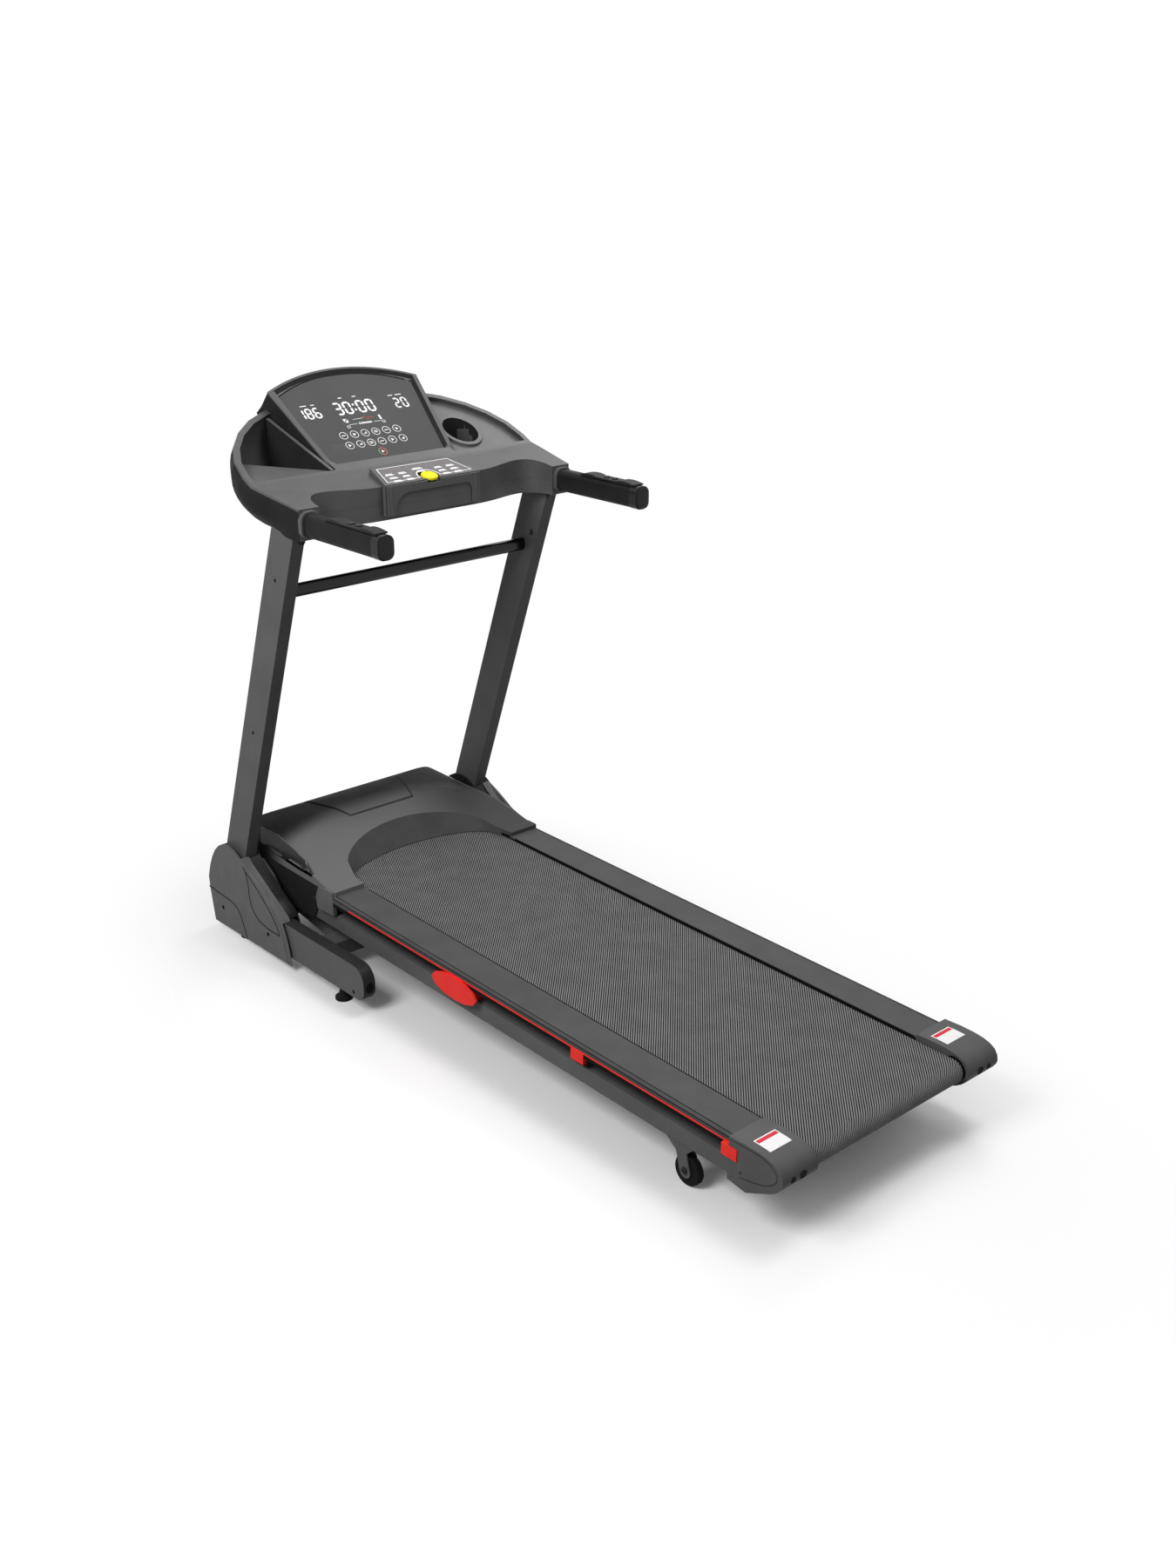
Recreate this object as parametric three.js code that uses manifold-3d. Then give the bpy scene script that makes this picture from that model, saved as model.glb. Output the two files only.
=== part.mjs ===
// Folding motorised treadmill with powered incline. Millimetres, +Z up, +Y towards the console,
// +X to the runner's right. The origin ends up at the bottom centre of the whole machine.
import * as THREE from 'three';
import { mergeVertices } from 'three/addons/utils/BufferGeometryUtils.js';
import Module from 'manifold-3d';

const wasm = await Module();
wasm.setup();

// ---------------------------------------------------------------- driving dimensions
const seatGap = 0.3; // between pieces that touch
const overshoot = 4; // how far a cutter runs past the face it opens
const sides = { left: -1, right: 1 };

// deck, in its own frame: y along the deck from the rear end of the rails, z up from the rail tops
const deckRearHeight = 178.3;
const deckPitch = THREE.MathUtils.degToRad(1.09);
const railLength = 1255;
const railHeight = 24;
const railSheet = 4;
const railWebOffset = 16;
const beltHalfWidth = 217;
const beltThickness = 2;
const beltSegments = 14; // round each roller
const beltDepth = 7; // belt surface below the rail tops
const beltToRail = 2.5;
const railWidth = 84.5;
const railInner = beltHalfWidth + beltToRail;
const railHalfWidth = railInner + railWidth;
const beltToBoard = 0.3;
const boardThickness = 18;
const boardRear = -52;
const boardClearance = 7; // between the board and the drive belt

// rollers
const rollerRadius = 22;
const rearRollerY = -93.7;
const frontRollerAhead = 185; // of the rails
const motorAhead = 120; // of the front roller
const pivotAhead = 50; // of the motor
const frontRollerY = railLength + frontRollerAhead;
const motorY = frontRollerY + motorAhead;
const pivotY = motorY + pivotAhead;
const rollerStubRadius = 7.5;
const rollerHubRadius = 12;
const rollerEnd = 9; // roller beyond the belt's edge
const rollerEndGap = 3; // stub short of the end cap
const rollerPulleyRadius = 34;
const pulleyWidth = 18;
const pulleyInset = 8; // pulley in from the frame tube
const driveBeltThickness = 3;
const driveBeltGap = 0.6;
const driveBeltInset = 2; // belt narrower than its pulleys, each side

// deck frame
const frameInset = 12; // frame tubes in from the rails' outer faces
const boardInset = 2; // running board in from the tubes' outer faces
const frameWidth = 30;
const frameOuter = railHalfWidth - frameInset;
const frameInner = frameOuter - frameWidth;
const boardHalfWidth = frameOuter - boardInset;
const frameTop = -54;
const frameHeight = 36;
const frameWall = 2.5;
const frameRear = -44;
const frameNose = 32; // frame tubes beyond the fold pivot
const frameFront = pivotY + frameNose;
const crossRearY = 80;
const crossMidBack = 35; // behind the front of the rails
const crossMotorAhead = 5; // of the motor
const crossMidY = railLength - crossMidBack;
const crossMotorY = motorY + crossMotorAhead;
const crossLength = 34;
const crossDrop = 6; // the cross members under the returning belt sit lower

// rear wheels under the deck
const rearWheelRadius = 32;
const rearWheelWidth = 16;
const wheelBevel = 2;
const rearWheelY = 125;
const wheelPlate = 3;
const wheelPin = 4;
const wheelPinGap = 0.5;
const wheelSideGap = 1.5;
const wheelBracketLength = 94;
const wheelBracketBack = 29; // behind the wheel's axle
const wheelBracketEye = 13.5;

// end caps
const capLength = 131;
const capStandOff = 7;
const capOuter = railHalfWidth + capStandOff;
const capRise = 7;
const capFloorGap = 1; // under the frame tube, inside the cap
const capWall = 3;
const capBoardGap = 2; // round the running board, where it enters the cap
const capBossRadius = 15;
const capBossLength = 26;
const capOpeningRadius = 29;
const capFlat = 40; // flat length of the top, before the rounded rear
const capFoot = 46; // flat length of the underside
const capRearZ = -32; // height of the rearmost point

// deck cushions
const cushionY = 799;
const cushionLength = 152;
const cushionHeight = 54;
const cushionFace = 5.5;
const cushionBlock = 110;

// hood and pan
const hoodLap = 5; // over the rails
const hoodNose = 130; // ahead of the motor
const hoodInset = 4;
const hoodRear = railLength - hoodLap;
const hoodFront = motorY + hoodNose;
const hoodHalfWidth = railHalfWidth - hoodInset;
const hoodWall = 2.5;
const hoodCrown = 76;
const hoodCorner = 66;
const hoodRearRise = 10;
const scoopBack = 52; // behind the front roller
const scoopSag = 70; // from the middle of the scoop back to its corners
const hoodScoop = frontRollerY - scoopBack;
const mouthInset = 3.5;
const hoodMouthHalf = railInner - mouthInset;
const hoodScoopCorner = hoodScoop - scoopSag;
const scoopRun = 62; // how far the scoop leans forward over the hood's height
const hoodLip = -4.5; // the scoop's lower edge, just above the belt
const hoodShoulder = 22; // height of the hood at its outer edges
const plateBack = 69; // behind the hood's front
const plateLength = 134;
const plateFront = hoodFront - plateBack;
const plateRear = plateFront - plateLength;
const plateHalfRear = 92;
const plateHalfFront = 134;
const plateRise = 2.5;
const panWall = 2.5;
const panBottom = -95;
const panFloorBack = 58; // behind the motor
const panStepAhead = 80; // of the hood's rear edge
const panFloorRear = motorY - panFloorBack;
const panStepY = hoodRear + panStepAhead;
const panStepRun = 20;

// mains switch and inlet, side by side in the pan's front wall
const portZ = -26;
const switchX = -150;
const switchHalfX = 11;
const switchHalfZ = 15;
const inletX = -200;
const inletHalfX = 24;
const inletHalfZ = 14;
const inletDepth = 22;
const inletWall = 4;

// drive motor
const motorRadius = 50;
const motorHalf = 110;
const motorCentreX = -20;
const motorShell = 5;
const motorShaft = 8;
const motorPulleyRadius = 18;
const rotorRadius = 38;
const fanRadius = 40;
const fanWidth = 10;
const motorFootHalf = 30;
const shaftGap = 1;

// motor controller
const controllerGap = 12;
const controllerPlate = 8;
const finThickness = 4;
const finPitch = 14;
const finHeight = 26;

// fold pivot, incline frame, lift motor and strut
const pivotDrop = 20; // below the frame tubes
const pivotRadius = 10;
const pivotGap = 0.5;
const armThickness = 12;
const armHalfHeight = 17;
const armInset = 7; // lifting arms in from the frame tubes
const armOuter = frameInner - armInset;
const armRun = 260; // from the fold pivot back to the incline hinge
const inclineY = pivotY - armRun;
const inclineZ = 58;
const torsionRadius = 14;
const hingePin = 7;
const lugThickness = 7;
const lugGap = 2;
const pinProud = 2; // a pin or shaft beyond the lug it passes through
const leverLength = 42;
const leverPlate = 4;
const liftX = 60;
const liftTailBack = 55; // behind the fold pivot
const liftTailY = pivotY - liftTailBack;
const liftTailZ = 84;
const liftBodyRadius = 22;
const liftRodRadius = 8;
const liftBodyLength = 120;
const eyeRadius = 9;
const eyeWidth = 14;
const eyeSideGap = 1;
const eyePinReach = eyeWidth / 2 + eyeSideGap + leverPlate + pinProud;
const linkNeck = 5; // from an eye's edge to the tube behind it
const rodStart = 24; // from an eye's edge to the rod's hidden end
const linkPin = 5;
const linkPinGap = 0.6;
const openPivotGap = 2.5;
const strutX = -60;
const strutTailBack = 70;
const strutTailDrop = 22;
const strutHeadBack = 39; // behind the cross member
const strutHeadY = crossMidY - strutHeadBack;
const strutHeadZ = -101;
const strutRadius = 11;
const strutNeckRadius = 6.6;
const strutRodRadius = 5;
const strutBodyLength = 262;

// base
const deckToBase = 33; // between the rails and the base tubes
const baseWidth = 32;
const baseOuter = railHalfWidth + deckToBase + baseWidth;
const baseBottom = 33;
const baseTop = 115;
const baseAhead = 62; // base tubes beyond the fold pivot
const baseLength = 623;
const baseFront = pivotY + baseAhead;
const baseRear = baseFront - baseLength;
const baseWall = 2;
const baseNose = 35;
const baseToe = 12;
const footAhead = 106; // of the base tube's rear end
const footY = baseRear + footAhead;
const footRadius = 20;
const footStem = 7;
const footPad = 6.5;
const transportBack = 32; // behind the base tube's front
const transportY = baseFront - transportBack;
const transportWidth = 22;
const transportPin = 5;
const transportRadius = 34.7;
const transportBevel = 3;
const transportGap = 3; // between the wheel and the end of its well
const hingeAhead = 57; // incline hinge ahead of the rear cross tube
const crossTubeRearY = inclineY - hingeAhead;
const crossTubeRearLength = 56;
const crossTubeRearBottom = 40;
const crossTubeRearTop = 76;
const crossTubeFrontY = liftTailY;
const crossTubeFrontLength = 40;
const crossTubeFrontTop = 58;
const crossTubeWall = 2.5;

// uprights and cross bar
const uprightLean = 0.369; // rearward run per unit of height
const uprightDepth = 86.8;
const uprightBack = 55.2; // foot of the uprights behind the base's front, at the floor
const uprightRearAtFloor = baseFront - uprightBack;
const uprightInset = 7.6; // from the base tube's outer face
const uprightOuter = baseOuter - uprightInset;
const uprightWidth = 30.6;
const handleTop = 1104;
const handleOverUpright = 6;
const uprightTop = handleTop - handleOverUpright;
const uprightWall = 2;
const crossBarZ = 908;
const crossBarHeight = 30;
const crossBarWidth = 20;

// base covers
const coverStandOff = 8;
const coverStandIn = 14;
const coverOuter = baseOuter + coverStandOff;
const coverSplit = baseOuter - baseWidth / 2;
const coverInner = baseOuter - baseWidth - coverStandIn;
const coverAhead = 20; // of the base tube
const coverLength = 360;
const coverPeakBack = 103;
const coverFront = baseFront + coverAhead;
const coverRear = coverFront - coverLength;
const coverPeak = coverFront - coverPeakBack;
const coverTop = 243;
const coverShoulder = 126;
const coverBottom = 18;
const coverInnerShift = 12; // the inner half starts this far ahead of the outer one
const coverWall = 2.5;
const coverClearance = 0.6;

// handlebars
const handleInset = 18.4; // middle of the handle from the upright's outer face
const handleX = uprightOuter - handleInset;
const handleWidth = 38;
const handleHeight = 49;
const handleBottom = handleTop - handleHeight;
const collarBehind = 15.6; // collars behind the tops of the uprights
const handleReach = 272; // handles behind their collars
const collarRear = uprightRearAtFloor - uprightLean * uprightTop - collarBehind;
const handleRear = collarRear - handleReach;
const handleWall = 2.5;
const handleCorner = 14;
const switchInset = 14; // from the end of the handle
const switchRear = handleRear + switchInset;
const switchLength = 178;
const switchWidth = 30;
const switchSaddle = 3.5;
const switchRise = 8.5;
const saddleHalf = 32;
const buttonRadius = 7;
const buttonGap = 0.5;
const buttonSunk = 0.7;
const buttonSpacing = 26;
const buttonProud = 3;
const buttonTravel = 1.5;

// console
const consoleWall = 3;
const consoleDepth = 379;
const consoleBack = collarRear + consoleDepth;
const collarBorder = 4;
const collarInnerBorder = 8;
const wingBulge = 14; // widest part of the wings beyond the collars
const collarOuter = handleX + handleWidth / 2 + collarBorder;
const collarInner = handleX - handleWidth / 2 - collarInnerBorder;
const consoleHalf = collarOuter + wingBulge;
const apronAhead = 66; // of the collars
const apronY = collarRear + apronAhead;
const podAhead = 29; // of the collars
const podRear = collarRear + podAhead;
const podHalfRear = 128;
const podHalfFront = 106;
const podDepth = 90;
const keypadSlope = 0.25;
const keypadMargin = 10;
const keypadThickness = 2;
const keypadLength = 72;
const shoulderRun = 151; // from the collars to the trays' rims
const rimY = collarRear + shoulderRun; // where the shoulders meet the tray rims
const wingWidestAhead = 28;
const wingWidestY = rimY + wingWidestAhead;
const rimSlope = 0.52;
const collarRise = 8; // above the handles
const rimRise = 29; // trays' rims above the collars
const podRise = 11; // keypad pod above the collars
const shoulderRearZ = handleTop + collarRise;
const rimZ = shoulderRearZ + rimRise;
const podTopRear = shoulderRearZ + podRise;
const consoleSkirt = 8; // below the handles
const podRaise = 9; // pod's underside above the console's
const undersideRise = 41; // towards the back
const consoleBottom = handleBottom - consoleSkirt;
const podBottom = consoleBottom + podRaise;
const consoleBackZ = consoleBottom + undersideRise;
const lowerDepth = 33;
const splitZ = consoleBottom + lowerDepth;
const splitSlope = 0.02;
const splitReach = 600; // past the whole console, every way
const displayAhead = 18; // foot of the display's slope from the trays' rims
const displaySunk = 4;
const displayY = rimY + displayAhead;
const displayZ = rimZ - displaySunk;
const displayTilt = THREE.MathUtils.degToRad(38.5);
const displayHalfBottom = 166;
const displayHalfTop = 202;
const displayEdge = 243;
const displayArc = 48;
const displayFrame = 18;
const displayProud = 5;
const displayThick = 60;
const displayTuck = 30; // housing below the foot of the display's slope
const displayFoot = 6; // panel below the foot of the slope
const panelThickness = 3;
const boardPlate = 6;
const boardHalf = 120;
const boardDepth = 140;
const trayRim = 13;
const trayStart = 8; // trays begin this far ahead of the shoulders
const trayDepth = 43;
const trayFloorZ = rimZ - trayDepth;
const shelfDrop = 11;
const cupBeside = 65; // beside the display's foot
const cupAhead = 78; // of the trays' rims
const cupDepth = 19; // floor below the trays' rims
const cupX = displayHalfBottom + cupBeside;
const cupY = rimY + cupAhead;
const cupRadius = 42;
const cupRing = 9;
const cupRingRise = 6;
const cupFloorZ = rimZ - cupDepth;
const keyRadius = 22;
const keyThickness = 12;
const keyGap = 1.5;
const keyNotch = 3; // keypad cut back round the key
const keyAhead = 18; // of the pod's rear
const keyY = podRear + keyAhead;

// ---------------------------------------------------------------- solids
function toSolid(geometry) {
  const bare = geometry.index ? geometry.toNonIndexed() : geometry.clone();
  bare.deleteAttribute('normal');
  bare.deleteAttribute('uv');
  const merged = mergeVertices(bare, 1e-4);
  return new wasm.Manifold(new wasm.Mesh({
    numProp: 3,
    vertProperties: new Float32Array(merged.attributes.position.array),
    triVerts: new Uint32Array(merged.index.array),
  }));
}

function toGeometry(solid) {
  const { vertProperties, triVerts } = solid.getMesh();
  const geometry = new THREE.BufferGeometry();
  geometry.setAttribute('position', new THREE.BufferAttribute(new Float32Array(vertProperties), 3));
  geometry.setIndex(new THREE.BufferAttribute(new Uint32Array(triVerts), 1));
  return geometry;
}

const join = (first, ...rest) => rest.reduce((a, b) => a.add(b), first);
const cut = (first, ...rest) => rest.reduce((a, b) => a.subtract(b), first);

function extrude(shape, depth, curveSegments = 6) {
  return new THREE.ExtrudeGeometry(shape, { depth, curveSegments, bevelEnabled: false, steps: 1 });
}

// A plan outline (x, y) raised from z0 to z1.
function raise(shape, z0, z1, segments) {
  return toSolid(extrude(shape, z1 - z0, segments).translate(0, 0, z0));
}

// A side outline (y, z) carried across from x0 to x1, in either order.
function across(shape, x0, x1, segments) {
  const basis = new THREE.Matrix4().set(0, 0, 1, Math.min(x0, x1), 1, 0, 0, 0, 0, 1, 0, 0, 0, 0, 0, 1);
  return toSolid(extrude(shape, Math.abs(x1 - x0), segments).applyMatrix4(basis));
}

// A front outline (x, z) carried along from y0 to y1.
function along(shape, y0, y1, segments) {
  const basis = new THREE.Matrix4().set(1, 0, 0, 0, 0, 0, -1, y1, 0, 1, 0, 0, 0, 0, 0, 1);
  return toSolid(extrude(shape, y1 - y0, segments).applyMatrix4(basis));
}

function block(x0, x1, y0, y1, z0, z1) {
  const box = new THREE.BoxGeometry(Math.abs(x1 - x0), Math.abs(y1 - y0), Math.abs(z1 - z0));
  return toSolid(box.translate((x0 + x1) / 2, (y0 + y1) / 2, (z0 + z1) / 2));
}

// A rod lying across the machine, centred on (y, z).
function rodX(radius, x0, x1, y, z, segments = 14) {
  const rod = new THREE.CylinderGeometry(radius, radius, Math.abs(x1 - x0), segments);
  return toSolid(rod.rotateZ(Math.PI / 2).translate((x0 + x1) / 2, y, z));
}

function rodZ(radius, x, y, z0, z1, segments = 16) {
  const rod = new THREE.CylinderGeometry(radius, radius, z1 - z0, segments);
  return toSolid(rod.rotateX(Math.PI / 2).translate(x, y, (z0 + z1) / 2));
}

// A turned piece lying across the machine: profile points are [x, radius].
function turnedX(profile, y, z, segments = 20) {
  const points = profile.map(([x, radius]) => new THREE.Vector2(radius, x));
  return new THREE.LatheGeometry(points, segments).rotateZ(-Math.PI / 2).translate(0, y, z);
}

// A turned piece lying along the line from one (y, z) point towards another, at x.
function turnedTowards(profile, x, from, to, segments = 12) {
  const points = profile.map(([run, radius]) => new THREE.Vector2(radius, run));
  const angle = Math.atan2(to.z - from.z, to.y - from.y);
  return toSolid(new THREE.LatheGeometry(points, segments).rotateX(angle).translate(x, from.y, from.z));
}

// ---------------------------------------------------------------- outlines
function polygon(points) {
  return new THREE.Shape(points.map(([a, b]) => new THREE.Vector2(a, b)));
}

function rectangle(a0, a1, b0, b1) {
  return polygon([[a0, b0], [a1, b0], [a1, b1], [a0, b1]]);
}

function roundedRectangle(a0, a1, b0, b1, radius) {
  const shape = new THREE.Shape();
  shape.absarc(a1 - radius, b1 - radius, radius, 0, Math.PI / 2);
  shape.absarc(a0 + radius, b1 - radius, radius, Math.PI / 2, Math.PI);
  shape.absarc(a0 + radius, b0 + radius, radius, Math.PI, 1.5 * Math.PI);
  shape.absarc(a1 - radius, b0 + radius, radius, 1.5 * Math.PI, 2 * Math.PI);
  return shape;
}

function tubeSection(a0, a1, b0, b1, wall) {
  const shape = rectangle(a0, a1, b0, b1);
  shape.holes.push(rectangle(a0 + wall, a1 - wall, b0 + wall, b1 - wall));
  return shape;
}

// The outline that wraps two circles, as a belt or a round-ended link does.
function wrapped(y0, z0, r0, y1, z1, r1, segments = 7) {
  const heading = Math.atan2(z1 - z0, y1 - y0);
  const spread = Math.acos((r0 - r1) / Math.hypot(y1 - y0, z1 - z0));
  const points = [];
  for (let i = 0; i <= segments; i += 1) {
    const angle = heading + spread + (i / segments) * (2 * Math.PI - 2 * spread);
    points.push([y0 + r0 * Math.cos(angle), z0 + r0 * Math.sin(angle)]);
  }
  for (let i = 0; i <= segments; i += 1) {
    const angle = heading - spread + (i / segments) * 2 * spread;
    points.push([y1 + r1 * Math.cos(angle), z1 + r1 * Math.sin(angle)]);
  }
  return polygon(points);
}

// Moves every edge of a closed outline inwards by the same distance.
function inset(shape, distance, segments = 6) {
  const outline = shape.getPoints(segments).filter((p, i, all) => {
    const last = all[(i + all.length - 1) % all.length];
    return p.distanceTo(last) > 1e-3;
  });
  if (THREE.ShapeUtils.area(outline) < 0) outline.reverse();
  const moved = outline.map((point, i) => {
    const before = outline[(i + outline.length - 1) % outline.length];
    const after = outline[(i + 1) % outline.length];
    const into = point.clone().sub(before).normalize();
    const out = after.clone().sub(point).normalize();
    const normalIn = new THREE.Vector2(-into.y, into.x);
    const normalOut = new THREE.Vector2(-out.y, out.x);
    const bisector = normalIn.clone().add(normalOut).normalize();
    const reach = distance / Math.max(bisector.dot(normalIn), 0.4);
    return point.clone().add(bisector.multiplyScalar(reach));
  });
  return new THREE.Shape(moved);
}

// Completes a half outline, drawn for x >= 0 from the front to the back of the machine, by symmetry.
function symmetric(half, segments = 6) {
  const points = half.getPoints(segments);
  const mirrored = points.map((p) => new THREE.Vector2(-p.x, p.y)).reverse();
  return new THREE.Shape([...points, ...mirrored.filter((p) => p.x < -1e-6)]);
}

// ---------------------------------------------------------------- colours and finishes
const finishes = {
  paint: [0x3f4042, 0.5, 0.35],
  textured: [0x3c3d3f, 0.7, 0],
  gloss: [0x1c1c1e, 0.25, 0],
  rubber: [0x161616, 0.85, 0],
  belt: [0x4a4a4a, 0.85, 0],
  red: [0xe0302a, 0.45, 0],
  yellow: [0xf5ee14, 0.35, 0],
  steel: [0xa8abad, 0.35, 0.9],
  wood: [0x8a6a48, 0.7, 0],
  circuit: [0x2e6b3c, 0.6, 0],
};

function part(name, shape, finish) {
  const geometry = shape.isBufferGeometry ? shape : toGeometry(shape);
  const [color, roughness, metalness] = finishes[finish];
  const mesh = new THREE.Mesh(geometry, new THREE.MeshStandardMaterial({ color, roughness, metalness }));
  mesh.name = name;
  return mesh;
}

// ---------------------------------------------------------------- shared places
const rollerZ = -beltDepth - beltThickness - seatGap - rollerRadius;
const boardTop = -beltDepth - beltThickness - beltToBoard;
const boardBottom = boardTop - boardThickness;
const boardFront = frontRollerY - rollerPulleyRadius - driveBeltThickness - boardClearance;
const frameBottom = frameTop - frameHeight;
const pivotZ = frameBottom - pivotDrop;
const capBottom = frameBottom - capFloorGap - capWall;
const panFront = hoodFront - hoodWall - seatGap - 2;
const motorZ = frameTop + seatGap + panWall + motorRadius + 7;
const pulleyOuter = -(frameInner - pulleyInset);
const pulleyInner = pulleyOuter + pulleyWidth;
const baseInner = baseOuter - baseWidth;
const strutTail = { y: pivotY - strutTailBack, z: pivotZ - strutTailDrop };
const strutHead = { y: strutHeadY, z: strutHeadZ };

// A point of the deck frame, as the floor sees it.
function fromDeck(y, z) {
  return {
    y: y * Math.cos(deckPitch) - z * Math.sin(deckPitch),
    z: deckRearHeight + y * Math.sin(deckPitch) + z * Math.cos(deckPitch),
  };
}

const rearWheelFall = rearWheelRadius - deckRearHeight - rearWheelY * Math.sin(deckPitch);
const rearWheelZ = rearWheelFall / Math.cos(deckPitch);
const foldPivot = fromDeck(pivotY, pivotZ);
const liftTail = { y: liftTailY, z: liftTailZ };
const liftHead = { y: inclineY, z: inclineZ + leverLength };
const uprightRear = (z) => uprightRearAtFloor - uprightLean * z;

// ---------------------------------------------------------------- deck
function frameTube(side) {
  const outer = side * frameOuter;
  const inner = side * frameInner;
  const [low, high] = [Math.min(outer, inner), Math.max(outer, inner)];
  const section = tubeSection(low, high, frameBottom, frameTop, frameWall);
  const tube = along(section, frameRear, frameFront);
  return join(tube, ...wheelBracket(side), pivotEar(side), rollerEar(side));
}

function wheelBracket(side) {
  const eye = wheelBracketEye;
  const rear = rearWheelY - wheelBracketBack;
  const outline = wrapped(rearWheelY, rearWheelZ, eye, rearWheelY + eye, frameBottom - eye, eye);
  const top = polygon([
    [rear, frameBottom + frameWall / 2], [rear + wheelBracketLength, frameBottom + frameWall / 2],
    [rearWheelY + 2 * eye, frameBottom - eye * 1.5], [rearWheelY, frameBottom - eye * 1.5],
  ]);
  const half = rearWheelWidth / 2 + wheelSideGap;
  const middle = side * (frameInner + frameWidth / 2);
  const plates = [-1, 1].flatMap((hand) => {
    const near = middle + hand * half;
    const far = middle + hand * (half + wheelPlate);
    return [across(outline, near, far), across(top, near, far)];
  });
  const reach = half + wheelPlate;
  return [...plates, rodX(wheelPin, middle - reach, middle + reach, rearWheelY, rearWheelZ, 12)];
}

function pivotEar(side) {
  const near = side * (frameInner + frameWall);
  const far = near + side * lugThickness;
  const outline = wrapped(pivotY, pivotZ, armHalfHeight, pivotY, frameBottom - frameWall, armHalfHeight);
  const ear = across(outline, near, far);
  const past = side * overshoot;
  const trimmed = cut(ear, block(near - past, far + past, pivotY - 2 * armHalfHeight,
    pivotY + 2 * armHalfHeight, frameBottom + frameWall / 2, frameTop));
  return cut(trimmed, rodX(pivotRadius + pivotGap, near - past, far + past, pivotY, pivotZ));
}

function rollerEar(side) {
  const near = side * (frameInner + frameWall);
  const far = near + side * lugThickness;
  const hole = rollerStubRadius + pivotGap;
  const ear = across(rectangle(frontRollerY - 2 * hole, frontRollerY + 2 * hole,
    frameTop - frameWall / 2, rollerZ + 2 * hole), near, far);
  const past = side * overshoot;
  return cut(ear, rodX(hole, near - past, far + past, frontRollerY, rollerZ));
}

function frameCross(y, top) {
  const end = frameInner - seatGap;
  const section = tubeSection(y - crossLength / 2, y + crossLength / 2, frameBottom, top, frameWall);
  return across(section, -end, end);
}

// The strut's head sits between two cheeks behind this member.
function frameCrossMid() {
  const member = frameCross(crossMidY, frameTop - crossDrop);
  const rear = crossMidY - crossLength / 2;
  const web = polygon([[rear + frameWall / 2, frameTop - crossDrop], [rear + frameWall / 2, frameBottom],
    [strutHead.y, strutHead.z - eyeRadius], [strutHead.y - eyeRadius, strutHead.z],
    [strutHead.y - eyeRadius, strutHead.z + eyeRadius]]);
  const cheeks = [-1, 1].map((hand) => {
    const near = strutX + hand * (eyeWidth / 2 + openPivotGap);
    const far = near + hand * leverPlate;
    const hole = rodX(linkPin, near - hand, far + hand, strutHead.y, strutHead.z, 12);
    return cut(across(web, near, far), hole);
  });
  return join(member, ...cheeks);
}

function runningBoard() {
  return block(-boardHalfWidth, boardHalfWidth, boardRear, boardFront, boardBottom, boardTop);
}

function deckCushion(side) {
  const face = railHalfWidth + seatGap;
  const middle = (boardBottom + frameTop) / 2;
  const oval = new THREE.Shape();
  oval.absellipse(cushionY, middle, cushionLength / 2, cushionHeight / 2, 0, 2 * Math.PI);
  const disc = across(oval, side * face, side * (face + cushionFace));
  const half = (boardBottom - frameTop) / 2 - seatGap;
  const pad = across(rectangle(cushionY - cushionBlock / 2, cushionY + cushionBlock / 2,
    middle - half, middle + half), side * (frameInner - frameWidth), side * (face + cushionFace / 2));
  return join(disc, pad);
}

function sideRail(side) {
  const web = railInner + railWebOffset;
  const foot = boardTop + seatGap;
  const lip = -beltDepth + railSheet / 2;
  const profile = [
    [railInner, -1], [railInner + 1, 0], [railHalfWidth - railSheet, 0], [railHalfWidth, -railSheet],
    [railHalfWidth, -railHeight], [railHalfWidth - railSheet, -railHeight],
    [railHalfWidth - railSheet, -railSheet],
    [web + railSheet, -railSheet], [web + railSheet, foot], [web, foot], [web, -railSheet],
    [railInner + railSheet, -railSheet], [railInner, lip],
  ];
  return along(polygon(profile.map(([x, z]) => [side * x, z])), seatGap, railLength);
}

function capOutline(wall) {
  const front = wall ? overshoot : 0;
  const top = capRise - wall;
  const foot = capBottom + wall;
  const rear = wall - capLength;
  const shape = new THREE.Shape();
  shape.moveTo(front, top - 2);
  shape.lineTo(-capFlat, top);
  shape.bezierCurveTo(rear + 26, top + 1, rear, top - 8, rear, capRearZ);
  shape.bezierCurveTo(rear, capRearZ - 20, rear + 23, foot + 6, rear + 60, foot + 1);
  shape.lineTo(-capFoot, foot);
  shape.lineTo(front, foot);
  return shape;
}

// A hollow moulding, open to the front, that takes the frame tube, the board's corner and the roller's end.
function endCap(side) {
  const near = side * railInner;
  const far = side * capOuter;
  const shell = across(capOutline(0), near, far);
  const hollow = across(capOutline(capWall), near + side * capWall, far - side * capWall);
  const opening = rodX(capOpeningRadius, near - side * overshoot, near + side * (capWall + overshoot),
    rearRollerY, rollerZ, 20);
  const slot = block(near - side * overshoot, near + side * (capWall + overshoot), boardRear - capBoardGap,
    overshoot, boardBottom - capBoardGap, boardTop + beltThickness / 2);
  const bossFar = side * (capOuter - capWall / 2);
  const bossNear = far - side * (capWall + capBossLength);
  const boss = rodX(capBossRadius, bossNear, bossFar, rearRollerY, rollerZ);
  const socket = rodX(rollerStubRadius + pivotGap, bossNear - side * overshoot, far - side * capWall,
    rearRollerY, rollerZ);
  const top = capRise + overshoot;
  const front = block(near - side * overshoot, far + side * overshoot, -seatGap, 2 * overshoot,
    capBottom - top, top);
  return cut(join(cut(shell, hollow, opening, slot), boss), socket, front);
}

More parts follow.
